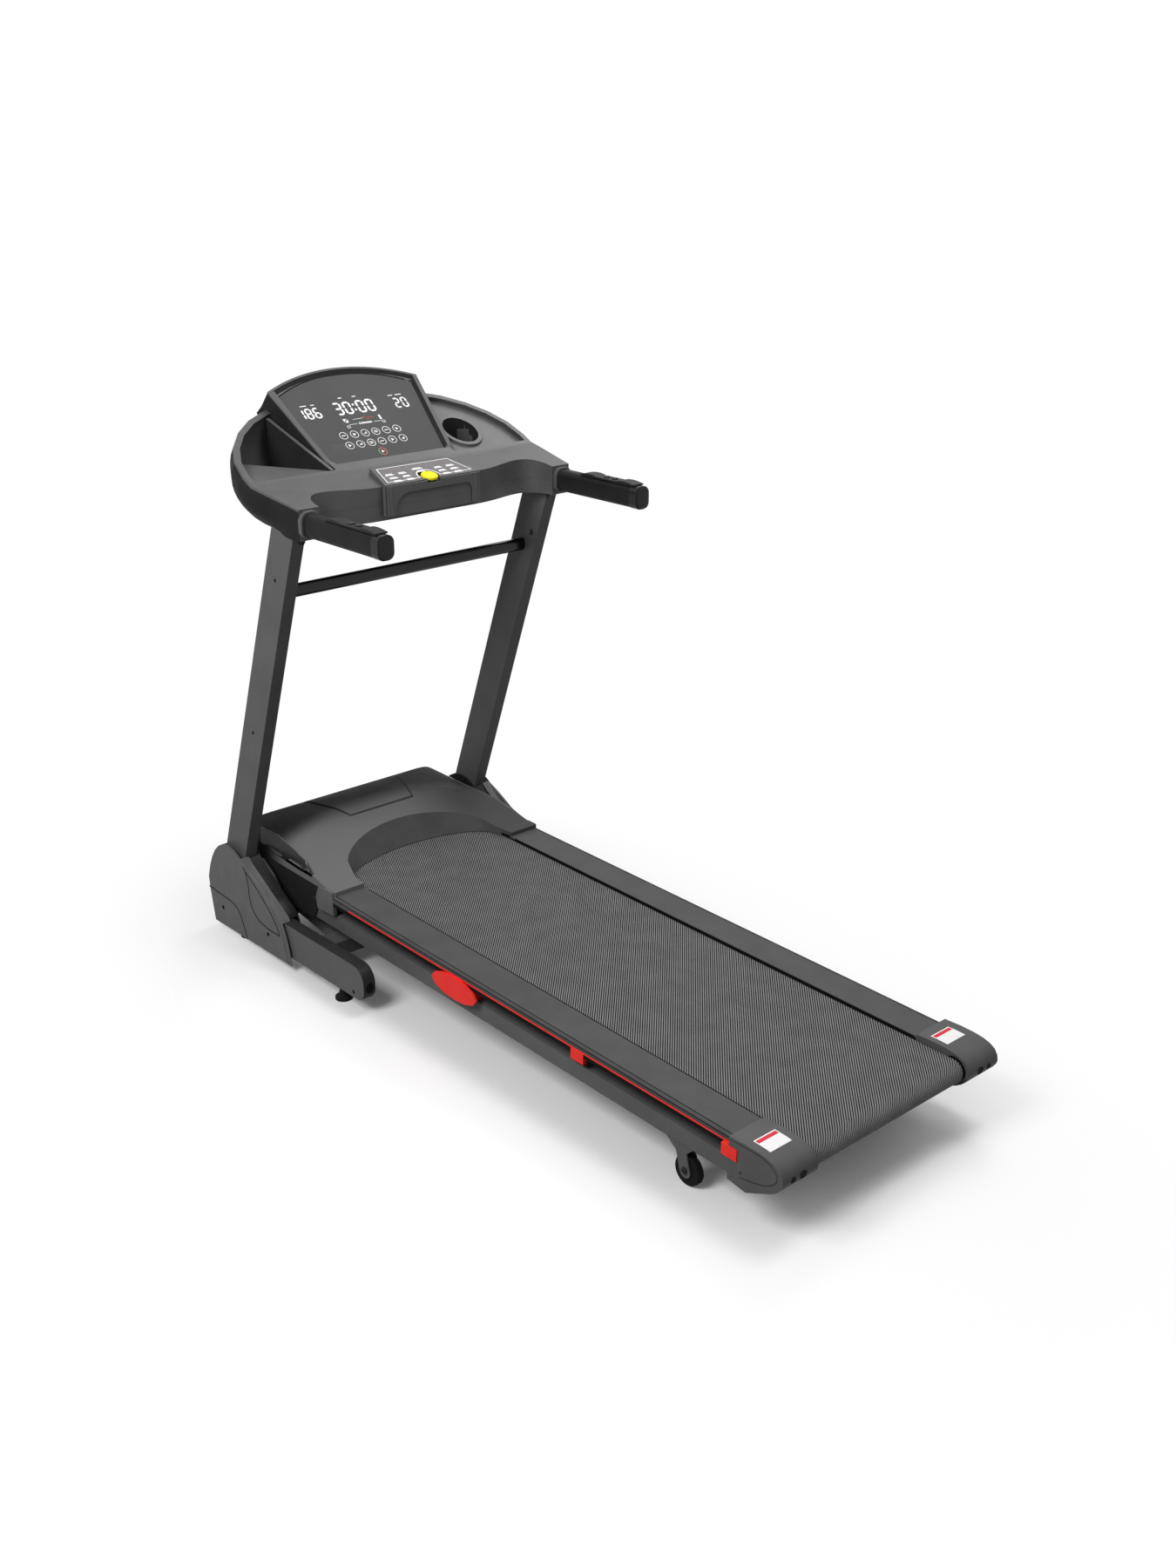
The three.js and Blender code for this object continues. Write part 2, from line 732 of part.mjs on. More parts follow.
function runningBelt() {
  const inside = rollerRadius + seatGap;
  const outside = inside + beltThickness;
  const loop = (radius) => wrapped(rearRollerY, rollerZ, radius, frontRollerY, rollerZ, radius, beltSegments);
  const outline = loop(outside);
  outline.holes.push(loop(inside));
  return across(outline, -beltHalfWidth, beltHalfWidth);
}

function rearRoller() {
  const barrel = beltHalfWidth + rollerEnd;
  const stub = capOuter - capWall - rollerEndGap;
  return turnedX([[-stub, 0], [-stub, rollerStubRadius], [-barrel, rollerStubRadius], [-barrel, rollerRadius],
    [barrel, rollerRadius], [barrel, rollerStubRadius], [stub, rollerStubRadius], [stub, 0]],
  rearRollerY, rollerZ, 20);
}

// The drive pulley is fixed to the left end of the front roller.
function frontRoller() {
  const barrel = beltHalfWidth + rollerEnd;
  const stub = frameInner + frameWall + lugThickness + pinProud;
  const profile = [[-stub, 0], [-stub, rollerStubRadius]];
  profile.push([pulleyOuter, rollerStubRadius], [pulleyOuter, rollerPulleyRadius]);
  profile.push([pulleyInner, rollerPulleyRadius], [pulleyInner, rollerHubRadius]);
  profile.push([-barrel, rollerHubRadius], [-barrel, rollerRadius]);
  profile.push([barrel, rollerRadius], [barrel, rollerStubRadius], [stub, rollerStubRadius], [stub, 0]);
  return turnedX(profile, frontRollerY, rollerZ, 20);
}

function driveBelt() {
  const loop = (grow) => wrapped(frontRollerY, rollerZ, rollerPulleyRadius + driveBeltGap + grow,
    motorY, motorZ, motorPulleyRadius + driveBeltGap + grow, 12);
  const outline = loop(driveBeltThickness);
  outline.holes.push(loop(0));
  return across(outline, pulleyOuter + driveBeltInset, pulleyInner - driveBeltInset);
}

function driveMotor() {
  const near = motorCentreX - motorHalf;
  const far = motorCentreX + motorHalf;
  const bore = motorShaft + shaftGap;
  const hollow = motorRadius - motorShell;
  const profile = [[near, bore], [near, motorRadius], [far, motorRadius], [far, bore],
    [far - motorShell, bore], [far - motorShell, hollow], [near + motorShell, hollow],
    [near + motorShell, bore], [near, bore]];
  const can = toSolid(turnedX(profile, motorY, motorZ, 20));
  const foot = block(near + motorShell, far - motorShell, motorY - motorFootHalf, motorY + motorFootHalf,
    frameTop + panWall + 2 * seatGap, motorZ - hollow + motorShell);
  return join(can, cut(foot, rodX(motorRadius - motorShell / 2, near, far, motorY, motorZ, 20)));
}

function motorRotor() {
  const near = motorCentreX - motorHalf;
  const far = motorCentreX + motorHalf;
  const core = motorHalf - 3 * motorShell;
  return turnedX([
    [pulleyOuter, 0], [pulleyOuter, motorPulleyRadius], [pulleyInner, motorPulleyRadius],
    [pulleyInner, motorShaft], [motorCentreX - core, motorShaft], [motorCentreX - core, rotorRadius],
    [motorCentreX + core, rotorRadius], [motorCentreX + core, motorShaft],
    [far + motorShell, motorShaft], [far + motorShell, fanRadius],
    [far + motorShell + fanWidth, fanRadius], [far + motorShell + fanWidth, 0],
  ].filter(([x]) => x <= pulleyInner || x >= near), motorY, motorZ, 20);
}

// The scoop over the belt: an arc at the belt that leans forward as it rises.
function hoodMouth(grow) {
  const half = new THREE.Path();
  const side = hoodMouthHalf + grow;
  half.moveTo(0, hoodScoop + grow);
  half.bezierCurveTo(side / 2, hoodScoop + grow, side - 20, hoodScoop - 40, side - 14, hoodScoopCorner);
  half.lineTo(side, hoodScoopCorner - 36);
  half.lineTo(side + 4, hoodRear - overshoot);
  half.lineTo(0, hoodRear - overshoot);
  const outline = symmetric(half, 8).getPoints();
  const lean = scoopRun / hoodCrown;
  const rim = (z) => outline.map(({ x, y }) => [x, y > hoodRear ? y + lean * z : y, z]);
  return wasm.Manifold.hull([...rim(hoodLip - overshoot), ...rim(hoodCrown + overshoot)]);
}

// Plan, side and front outlines whose common body is the hood's form, moved inwards by the wall.
function hoodBody(wall) {
  const half = hoodHalfWidth - wall;
  const front = hoodFront - wall;
  const crown = hoodCrown - wall;
  const foot = hoodLip - 2 * overshoot;
  const plan = new THREE.Path();
  plan.moveTo(0, hoodRear + wall);
  plan.lineTo(half, hoodRear + wall);
  plan.lineTo(half, hoodFront - hoodCorner);
  plan.bezierCurveTo(half, front - hoodCorner / 6, half - hoodCorner, front, half - 2 * hoodCorner, front);
  plan.lineTo(0, front);
  const profile = new THREE.Shape();
  const rear = hoodRear - overshoot;
  const apex = hoodFront - 2 * hoodCorner;
  profile.moveTo(rear, foot);
  profile.lineTo(rear, hoodRearRise - wall);
  profile.lineTo(hoodRear + 38, hoodRearRise - wall);
  profile.bezierCurveTo(hoodRear + 150, hoodRearRise + 20 - wall, apex - 120, crown - 8, apex, crown);
  profile.bezierCurveTo(apex + 90, crown, front, crown / 2, front, foot);
  const section = new THREE.Shape();
  const edge = hoodHalfWidth + overshoot;
  const shoulder = hoodShoulder - wall;
  section.moveTo(-edge, foot);
  section.lineTo(-edge, shoulder);
  section.bezierCurveTo(24 - edge, shoulder + 30, 100 - edge, crown, 0, crown);
  section.bezierCurveTo(edge - 100, crown, edge - 24, shoulder + 30, edge, shoulder);
  section.lineTo(edge, foot);
  return raise(symmetric(plan), hoodLip - Math.max(wall, 0), hoodCrown + overshoot)
    .intersect(across(profile, -edge, edge, 10))
    .intersect(along(section, rear - overshoot, hoodFront + overshoot, 10));
}

function motorHood() {
  const hollow = cut(hoodBody(hoodWall), hoodMouth(hoodWall));
  const plate = raise(polygon([[-plateHalfRear, plateRear], [plateHalfRear, plateRear],
    [plateHalfFront, plateFront], [-plateHalfFront, plateFront]]), 0, hoodCrown + 2 * overshoot);
  const raised = hoodBody(-plateRise).intersect(plate);
  const shell = cut(join(hoodBody(0), raised), hollow, hoodMouth(0));
  const edge = hoodHalfWidth + overshoot;
  const low = hoodLip - overshoot;
  const front = hoodFront + overshoot;
  const beside = Object.values(sides).map((side) => block(side * (hoodMouthHalf - 1), side * edge,
    hoodRear - overshoot, front, low, seatGap));
  const ahead = block(-edge, edge, hoodScoop + scoopRun / 2, front, low, seatGap);
  return cut(shell, ...beside, ahead);
}

function motorPan() {
  const outer = frameOuter + seatGap + panWall;
  const floorBottom = frameTop + seatGap;
  const front = panFront;
  const wallOutline = polygon([[railLength + seatGap, 0], [railLength + seatGap, frameTop],
    [panStepY, frameTop], [panStepY + panStepRun, panBottom], [front, panBottom], [front, 0]]);
  const inner = outer - panWall;
  const walls = Object.values(sides).map((side) => across(wallOutline, side * inner, side * outer));
  const floor = block(-outer + panWall / 2, outer - panWall / 2, panFloorRear, front, floorBottom,
    floorBottom + panWall);
  const nose = block(-outer + panWall / 2, outer - panWall / 2, front - panWall, front, floorBottom, 0);
  const ports = [
    block(switchX - switchHalfX, switchX + switchHalfX, front - 2 * panWall, front + panWall,
      portZ - switchHalfZ, portZ + switchHalfZ),
    block(inletX - inletHalfX, inletX + inletHalfX, front - 2 * panWall, front + panWall,
      portZ - inletHalfZ, portZ + inletHalfZ),
  ];
  return cut(join(floor, nose, ...walls), ...ports);
}

function powerSwitch() {
  const rockerHalfX = switchHalfX - seatGap;
  const rockerHalfZ = switchHalfZ - 2.5;
  const outline = polygon([[panFront - 6, portZ - rockerHalfZ + 4], [panFront + 1, portZ - rockerHalfZ],
    [panFront + 2.5, portZ], [panFront + 4, portZ + rockerHalfZ], [panFront - 6, portZ + rockerHalfZ - 4]]);
  return across(outline, switchX - rockerHalfX, switchX + rockerHalfX);
}

function powerInlet() {
  const rim = inletHalfX + inletWall;
  const flange = block(inletX - rim, inletX + rim, panFront + seatGap, panFront + seatGap + inletWall / 2,
    portZ - inletHalfZ - inletWall, portZ + inletHalfZ + inletWall);
  const body = block(inletX - inletHalfX + seatGap, inletX + inletHalfX - seatGap, panFront - inletDepth,
    panFront + 1, portZ - inletHalfZ + seatGap, portZ + inletHalfZ - seatGap);
  const cavity = block(inletX - inletHalfX + inletWall, inletX + inletHalfX - inletWall,
    panFront - inletDepth + inletWall, panFront + 2 * overshoot, portZ - inletHalfZ + inletWall,
    portZ + inletHalfZ - inletWall);
  return cut(join(flange, body), cavity);
}

// A finned heat sink on the pan's floor, beside the motor's fan.
function motorController() {
  const near = motorCentreX + motorHalf + motorShell + fanWidth + controllerGap;
  const far = frameInner - controllerGap;
  const floor = frameTop + panWall + 2 * seatGap;
  const rear = panFloorRear + controllerGap / 2;
  const front = panFront - 2 * controllerGap;
  const plate = block(near, far, rear, front, floor, floor + controllerPlate);
  const fins = [];
  for (let x = near + finThickness; x < far - finThickness; x += finPitch) {
    fins.push(block(x, x + finThickness, rear + controllerGap, front - controllerGap,
      floor + controllerPlate / 2, floor + controllerPlate + finHeight));
  }
  return join(plate, ...fins);
}

function rearWheel(side) {
  const middle = side * (frameInner + frameWidth / 2);
  const half = rearWheelWidth / 2;
  const tread = half - wheelBevel;
  const shoulder = rearWheelRadius - wheelBevel;
  const bore = wheelPin + wheelPinGap;
  return turnedX([[middle - half, bore], [middle - half, shoulder], [middle - tread, rearWheelRadius],
    [middle + tread, rearWheelRadius], [middle + half, shoulder], [middle + half, bore],
    [middle - half, bore]], rearWheelY, rearWheelZ, 24);
}

// ---------------------------------------------------------------- lifting and folding gear
// Its places are those of the floor, because only the strut and shaft ride with the deck.
function pivotShaft() {
  const end = frameInner + frameWall + lugThickness + pinProud;
  const shaft = rodX(pivotRadius, -end, end, pivotY, pivotZ);
  const outline = wrapped(pivotY, pivotZ, pivotRadius + 3, strutTail.y, strutTail.z, eyeRadius + 2);
  const cheeks = [-1, 1].map((hand) => {
    const near = strutX + hand * (eyeWidth / 2 + eyeSideGap);
    const far = near + hand * leverPlate;
    const hole = rodX(linkPin + linkPinGap, near - hand, far + hand, strutTail.y, strutTail.z, 16);
    return cut(across(outline, near, far), hole);
  });
  return join(shaft, ...cheeks);
}

function linkEye(x, at, pin, reach) {
  return join(rodX(eyeRadius, x - eyeWidth / 2, x + eyeWidth / 2, at.y, at.z),
    rodX(pin, x - reach, x + reach, at.y, at.z, 10));
}

function strutCylinder() {
  const bore = strutRodRadius + linkPinGap;
  const neck = eyeRadius + linkNeck;
  const tube = turnedTowards([[0, 0], [0, strutNeckRadius], [neck, strutNeckRadius], [neck + 4, strutRadius],
    [strutBodyLength, strutRadius], [strutBodyLength, bore], [neck + 6, bore], [neck + 6, 0]],
  strutX, strutTail, strutHead, 16);
  return join(tube, linkEye(strutX, strutTail, linkPin, eyePinReach));
}

function strutRod() {
  const span = Math.hypot(strutHead.y - strutTail.y, strutHead.z - strutTail.z);
  const start = eyeRadius + rodStart;
  const rod = turnedTowards([[start, 0], [start, strutRodRadius], [span - 2, strutRodRadius], [span - 2, 0]],
    strutX, strutTail, strutHead, 16);
  return join(rod, rodX(eyeRadius, strutX - eyeWidth / 2, strutX + eyeWidth / 2, strutHead.y, strutHead.z));
}

function inclineFrame() {
  const arm = wrapped(inclineY, inclineZ, armHalfHeight, foldPivot.y, foldPivot.z, armHalfHeight);
  const arms = Object.values(sides).map((side) => {
    const near = side * (armOuter - armThickness);
    const far = side * armOuter;
    const hole = rodX(pivotRadius + pivotGap, near - side * overshoot, far + side * overshoot,
      foldPivot.y, foldPivot.z);
    return cut(across(arm, near, far), hole);
  });
  const torsion = rodX(torsionRadius, -armOuter, armOuter, inclineY, inclineZ);
  const reach = armOuter + lugGap + lugThickness;
  const pin = rodX(hingePin, -reach, reach, inclineY, inclineZ, 16);
  const lever = wrapped(inclineY, inclineZ, torsionRadius + 3, liftHead.y, liftHead.z, eyeRadius);
  const cheeks = [-1, 1].map((hand) => {
    const near = liftX + hand * (eyeWidth / 2 + eyeSideGap);
    const far = near + hand * leverPlate;
    const hole = rodX(linkPin + openPivotGap, near - hand, far + hand, liftHead.y, liftHead.z, 16);
    return cut(across(lever, near, far), hole);
  });
  return join(torsion, pin, ...arms, ...cheeks);
}

function liftMotor() {
  const bore = liftRodRadius + linkPinGap;
  const shoulder = eyeRadius + linkNeck;
  const boreStart = eyeRadius + rodStart;
  const tube = turnedTowards([[0, 0], [0, shoulder], [shoulder, liftBodyRadius],
    [liftBodyLength, liftBodyRadius], [liftBodyLength, bore], [boreStart, bore], [boreStart, 0]],
  liftX, liftTail, liftHead, 16);
  const flats = [-1, 1].map((hand) => block(liftX + hand * eyeWidth / 2, liftX + hand * 2 * liftBodyRadius,
    liftTail.y - shoulder - pinProud, liftTail.y + liftBodyRadius, liftTail.z - liftBodyRadius,
    liftTail.z + liftBodyRadius));
  return join(cut(tube, ...flats), linkEye(liftX, liftTail, linkPin, eyePinReach));
}

function liftRod() {
  const span = Math.hypot(liftHead.y - liftTail.y, liftHead.z - liftTail.z);
  const start = 2 * eyeRadius + rodStart;
  const rod = turnedTowards([[start, 0], [start, liftRodRadius], [span - eyeRadius, liftRodRadius],
    [span - pinProud, linkPin], [span - pinProud, 0]], liftX, liftTail, liftHead, 16);
  return join(rod, linkEye(liftX, liftHead, linkPin, eyePinReach - pinProud));
}

// ---------------------------------------------------------------- base
function baseOutline(wall, front) {
  const rear = baseRear + wall;
  const bottom = baseBottom + wall;
  const top = baseTop - wall;
  const nose = baseNose - wall;
  const toe = baseToe - wall;
  const shape = new THREE.Shape();
  shape.moveTo(front, bottom);
  shape.lineTo(front, top);
  shape.lineTo(rear + nose, top);
  shape.absarc(rear + nose, top - nose, nose, Math.PI / 2, Math.PI);
  shape.lineTo(rear, bottom + toe);
  shape.absarc(rear + toe, bottom + toe, toe, Math.PI, 1.5 * Math.PI);
  return shape;
}

// A closed-ended steel tube whose open front houses a transport wheel on a pin.
function baseTube(side) {
  const near = side * baseInner;
  const far = side * baseOuter;
  const shell = across(baseOutline(0, baseFront), near, far);
  const [skinNear, skinFar] = [near + side * baseWall, far - side * baseWall];
  const hollow = across(baseOutline(baseWall, baseFront + overshoot), skinNear, skinFar);
  const well = block(skinNear, skinFar, transportY - transportRadius - transportGap, baseFront + overshoot,
    baseBottom - overshoot, baseBottom + 2 * baseWall);
  const pin = rodX(transportPin, near + side, far - side, transportY, transportRadius, 12);
  return join(cut(shell, hollow, well), pin);
}

function transportWheel(side) {
  const middle = side * (baseInner + baseWidth / 2);
  const half = transportWidth / 2;
  const bore = transportPin + wheelPinGap;
  const tread = half - transportBevel;
  const shoulder = transportRadius - transportBevel;
  return turnedX([[middle - half, bore], [middle - half, shoulder], [middle - tread, transportRadius],
    [middle + tread, transportRadius], [middle + half, shoulder], [middle + half, bore],
    [middle - half, bore]], transportY, transportRadius, 24);
}

function levellingFoot(side) {
  const top = baseBottom - seatGap;
  const profile = [[0, 0], [footRadius, 0], [footRadius, footPad], [footStem + 4, 2 * footPad],
    [footStem, top], [0, top]];
  const points = profile.map(([radius, z]) => new THREE.Vector2(radius, z));
  const foot = new THREE.LatheGeometry(points, 16).rotateX(Math.PI / 2);
  return foot.translate(side * (baseInner + baseWidth / 2), footY, 0);
}

function baseCrossRear() {
  const end = baseInner - seatGap;
  const half = crossTubeRearLength / 2;
  const front = crossTubeRearY + half;
  const tube = across(tubeSection(crossTubeRearY - half, front, crossTubeRearBottom, crossTubeRearTop,
    crossTubeWall), -end, end);
  const lugs = Object.values(sides).map((side) => {
    const near = side * (armOuter + lugGap);
    const far = near + side * lugThickness;
    const past = side * overshoot;
    const outline = wrapped(inclineY, inclineZ, armHalfHeight, front, inclineZ, armHalfHeight);
    const lug = cut(across(outline, near, far), block(near - past, far + past,
      front - 2 * armHalfHeight, front - crossTubeWall / 2, 0, baseTop));
    return cut(lug, rodX(hingePin + pivotGap, near - past, far + past, inclineY, inclineZ));
  });
  return join(tube, ...lugs);
}

function baseCrossFront() {
  const end = baseInner - seatGap;
  const half = crossTubeFrontLength / 2;
  const tube = across(tubeSection(crossTubeFrontY - half, crossTubeFrontY + half, baseBottom,
    crossTubeFrontTop, crossTubeWall), -end, end);
  const lug = eyeRadius + 1;
  const outline = wrapped(liftTail.y, liftTail.z, lug, liftTail.y, crossTubeFrontTop - 1, lug);
  const cheeks = [-1, 1].map((hand) => {
    const near = liftX + hand * (eyeWidth / 2 + eyeSideGap);
    const far = near + hand * leverPlate;
    const trimmed = cut(across(outline, near, far), block(liftX - liftX / 2, liftX + liftX / 2,
      liftTail.y - half, liftTail.y + half, baseBottom, crossTubeFrontTop - crossTubeWall / 2));
    return cut(trimmed, rodX(linkPin + linkPinGap, near - hand, far + hand, liftTail.y, liftTail.z, 16));
  });
  return join(tube, ...cheeks);
}

function uprightOutline(wall, bottom, top) {
  const at = (z) => uprightRear(z);
  return polygon([[at(bottom) + wall, bottom], [at(bottom) + uprightDepth - wall, bottom],
    [at(top) + uprightDepth - wall, top], [at(top) + wall, top]]);
}

// A leaning rectangular tube standing on the base tube.
function upright(side) {
  const near = side * (uprightOuter - uprightWidth);
  const far = side * uprightOuter;
  const bottom = baseTop + seatGap;
  const shell = across(uprightOutline(0, bottom, uprightTop), near, far);
  const hollow = across(uprightOutline(uprightWall, bottom - overshoot, uprightTop + overshoot),
    near + side * uprightWall, far - side * uprightWall);
  return cut(shell, hollow);
}

function crossBar() {
  const end = uprightOuter - uprightWidth - seatGap;
  const y = uprightRear(crossBarZ) + uprightDepth / 2;
  const radius = crossBarWidth / 2;
  const outer = roundedRectangle(y - radius, y + radius, crossBarZ - crossBarHeight / 2,
    crossBarZ + crossBarHeight / 2, radius - 0.1);
  outer.holes.push(rectangle(y - radius / 2, y + radius / 2, crossBarZ - crossBarHeight / 3,
    crossBarZ + crossBarHeight / 3));
  return across(outer, -end, end, 5);
}

function coverOutline(rearShift) {
  const rear = coverRear + rearShift;
  const brow = coverFront - 180 + rearShift / 2;
  const shape = new THREE.Shape();
  shape.moveTo(rear, coverBottom);
  shape.quadraticCurveTo(rear + 6, coverShoulder - 46, rear + 37, coverShoulder);
  shape.quadraticCurveTo(rear + 108, coverShoulder + 42, brow, coverTop - 33);
  shape.quadraticCurveTo(coverPeak - 41, coverTop, coverPeak, coverTop);
  shape.quadraticCurveTo(coverFront - 32, coverTop - 7, coverFront, coverShoulder + 2);
  shape.lineTo(coverFront - 2, coverShoulder - 30);
  shape.lineTo(coverFront - 16, coverBottom - 4);
  return shape;
}

// Half of a foot cover: a tray-shaped moulding whose open side meets the other half.
function baseCover(outline, seam, face, hand) {
  const shell = across(outline, seam, face);
  const hollow = across(inset(outline, coverWall), seam - hand * overshoot, face - hand * coverWall);
  const reach = 2 * overshoot;
  const tube = across(rectangle(baseRear, baseFront + coverWall / 2, baseBottom - coverClearance,
    baseTop + coverClearance), seam - hand * reach, face - hand * coverWall);
  const leg = across(uprightOutline(-coverClearance, baseTop, uprightTop), seam - hand * reach,
    face - hand * coverWall);
  const floor = across(rectangle(baseRear, baseFront + 2 * overshoot, 0, baseBottom), seam - hand * reach,
    face - hand * coverWall);
  const crossHalf = crossTubeFrontLength / 2 + coverClearance;
  const cross = block(-baseInner, baseInner, crossTubeFrontY - crossHalf, crossTubeFrontY + crossHalf,
    baseBottom - coverClearance, crossTubeFrontTop + coverClearance);
  return cut(shell, hollow, tube, leg, floor, cross);
}

// ---------------------------------------------------------------- handlebars and their switches
function handlebar(side) {
  const near = side * handleX - handleWidth / 2;
  const far = side * handleX + handleWidth / 2;
  const outer = roundedRectangle(near, far, handleBottom, handleTop, handleCorner);
  outer.holes.push(roundedRectangle(near + handleWall, far - handleWall, handleBottom + handleWall,
    handleTop - handleWall, handleCorner - handleWall));
  return along(outer, handleRear, uprightRear(handleTop) - seatGap, 4);
}

const switchBase = handleTop + seatGap;
const buttonY = (index) => switchRear + switchLength / 2 + (index - 0.5) * buttonSpacing;

// A rubber module that swells either side of the saddle in which its two buttons lie.
function handleSwitch(side) {
  const middle = side * handleX;
  const end = switchRear + switchLength;
  const saddle = switchRear + switchLength / 2;
  const [low, high] = [switchBase + switchSaddle, switchBase + switchRise + 2];
  const outline = new THREE.Shape();
  outline.moveTo(switchRear, switchBase);
  outline.lineTo(switchRear, low);
  outline.quadraticCurveTo(switchRear + 40, high, saddle - saddleHalf, low);
  outline.lineTo(saddle + saddleHalf, low);
  outline.quadraticCurveTo(end - 30, high, end, switchBase + switchSaddle / 2);
  outline.lineTo(end, switchBase);
  const body = across(outline, middle - switchWidth / 2, middle + switchWidth / 2, 6);
  const wells = [0, 1].map((i) => rodZ(buttonRadius + buttonGap, middle, buttonY(i),
    low - buttonTravel - 1, high + overshoot));
  return cut(body, ...wells);
}

function handleButton(side, index) {
  const floor = switchBase + switchSaddle - buttonSunk;
  return rodZ(buttonRadius, side * handleX, buttonY(index), floor, switchBase + switchSaddle + buttonProud);
}

// ---------------------------------------------------------------- console
const displayUp = new THREE.Vector3(0, Math.cos(displayTilt), Math.sin(displayTilt));
const displayOut = new THREE.Vector3(0, -Math.sin(displayTilt), Math.cos(displayTilt));
const rimHeight = (y) => rimZ + rimSlope * (y - rimY);
const podTop = (y) => podTopRear + keypadSlope * (y - podRear);

// An outline in the display's plane (x across, y up the slope), given depth along its normal.
function onDisplay(shape, low, high, segments) {
  const placed = new THREE.Matrix4().makeBasis(new THREE.Vector3(1, 0, 0), displayUp, displayOut);
  placed.setPosition(0, displayY, displayZ);
  return toSolid(extrude(shape, high - low, segments).translate(0, 0, low).applyMatrix4(placed));
}

function displayOutline(margin, foot) {
  const taper = (displayHalfTop - displayHalfBottom) / displayEdge;
  const edge = displayEdge - margin;
  const bottom = foot + margin;
  const halfAt = (run) => displayHalfBottom + taper * run - margin;
  const half = halfAt(edge);
  const rise = displayArc;
  const radius = (half * half + rise * rise) / (2 * rise);
  const spread = Math.asin(half / radius);
  const shape = new THREE.Shape();
  shape.moveTo(-halfAt(bottom), bottom);
  shape.lineTo(halfAt(bottom), bottom);
  shape.lineTo(half, edge);
  shape.absarc(0, edge + rise - radius, radius, Math.PI / 2 - spread, Math.PI / 2 + spread);
  return shape;
}

// From the pod round the recess of the apron and the collar, then along the outer wall to the back.
function consolePlan() {
  const apronRear = podRear + 14;
  const recess = collarInner - 50;
  const half = new THREE.Path();
  half.moveTo(0, apronRear);
  half.lineTo(podHalfRear, apronRear);
  half.bezierCurveTo(podHalfRear + 72, apronRear + 2, recess - 40, apronY, recess, apronY);
  half.bezierCurveTo(recess + 34, apronY, collarInner, apronY - 22, collarInner, collarRear);
  half.lineTo(collarOuter, collarRear);
  half.bezierCurveTo(collarOuter + 4, collarRear + 54, consoleHalf + 2, wingWidestY - 55,
    consoleHalf, wingWidestY);
  half.bezierCurveTo(consoleHalf - 2, wingWidestY + 95, consoleHalf - 110, consoleBack - 14,
    consoleHalf - 230, consoleBack);
  half.lineTo(0, consoleBack);
  return symmetric(half);
}

function wingSide() {
  const [rear, front] = [collarRear - overshoot, consoleBack + overshoot];
  const shape = new THREE.Shape();
  shape.moveTo(rear, consoleBottom);
  shape.lineTo(wingWidestY - 65, consoleBottom);
  shape.bezierCurveTo(wingWidestY + 5, consoleBottom, wingWidestY + 45, consoleBottom + 8,
    wingWidestY + 95, consoleBottom + 18);
  shape.lineTo(front, consoleBackZ);
  shape.lineTo(front, rimHeight(consoleBack));
  shape.lineTo(rimY, rimZ);
  shape.lineTo(rear, shoulderRearZ);
  return shape;
}

function podBody(wall) {
  const plan = polygon([[-podHalfRear + wall, podRear + wall], [podHalfRear - wall, podRear + wall],
    [podHalfFront - wall, podRear + podDepth], [-podHalfFront + wall, podRear + podDepth]]);
  const [rear, front] = [podRear - overshoot, podRear + podDepth + overshoot];
  const raised = keypadThickness - wall;
  const profile = polygon([[rear, podBottom + wall], [front, podBottom + wall],
    [front, podTop(front) + raised], [rear, podTop(rear) + raised]]);
  const reach = podHalfRear + overshoot;
  return raise(plan, podBottom - overshoot, podTop(front) + 2 * overshoot)
    .intersect(across(profile, -reach, reach));
}

// The wings either side of the display, with the trays and the cup holder sunk into them.
function wings(wall) {
  const reach = consoleHalf + 2 * overshoot;
  const plan = wall ? inset(consolePlan(), wall) : consolePlan();
  const profile = wall ? inset(wingSide(), wall) : wingSide();
  const body = raise(plan, consoleBottom - overshoot, rimHeight(consoleBack) + overshoot)
    .intersect(across(profile, -reach, reach));
  return cut(body, ...trays(wall));
}

// The hollows of both trays and the cup holder, grown by the wall that surrounds them.
function trays(grow) {
  const region = inset(consolePlan(), trayRim - grow);
  const top = rimHeight(consoleBack) + displayThick;
  const rear = rimY + trayStart - grow;
  const reach = consoleHalf + overshoot;
  const depth = 5 * displayThick;
  const screen = onDisplay(displayOutline(1 + grow, -2 * displayThick), -depth, depth, 12);
  const left = cut(raise(region, trayFloorZ - grow, top)
    .intersect(block(-reach, 0, rear, consoleBack, 0, top)), screen);
  const sunk = shelfDrop + grow;
  const aboveShelf = polygon([[rear, rimHeight(rimY + trayStart) - sunk],
    [consoleBack, rimHeight(consoleBack) - sunk], [consoleBack, top], [rear, top]]);
  const right = cut(raise(region, 0, top).intersect(across(aboveShelf, 0, reach)), screen);
  return [left, right, rodZ(cupRadius + grow, cupX, cupY, cupFloorZ - grow, top, 28)];
}

function consoleBody(wall) {
  const screen = onDisplay(displayOutline(wall, -displayTuck), wall - displayThick, displayProud - wall, 12);
  const body = join(wings(wall), screen, podBody(wall));
  const recess = onDisplay(displayOutline(displayFrame - wall, -displayFoot),
    -panelThickness - seatGap - wall, displayProud + overshoot, 12);
  const keyHole = new THREE.Shape();
  keyHole.absarc(0, keyY, keyRadius + keyGap + wall, 0, 2 * Math.PI);
  return cut(body, recess, onKeypad(keyHole, -keyThickness / 2 - wall, 4 * overshoot, 20));
}

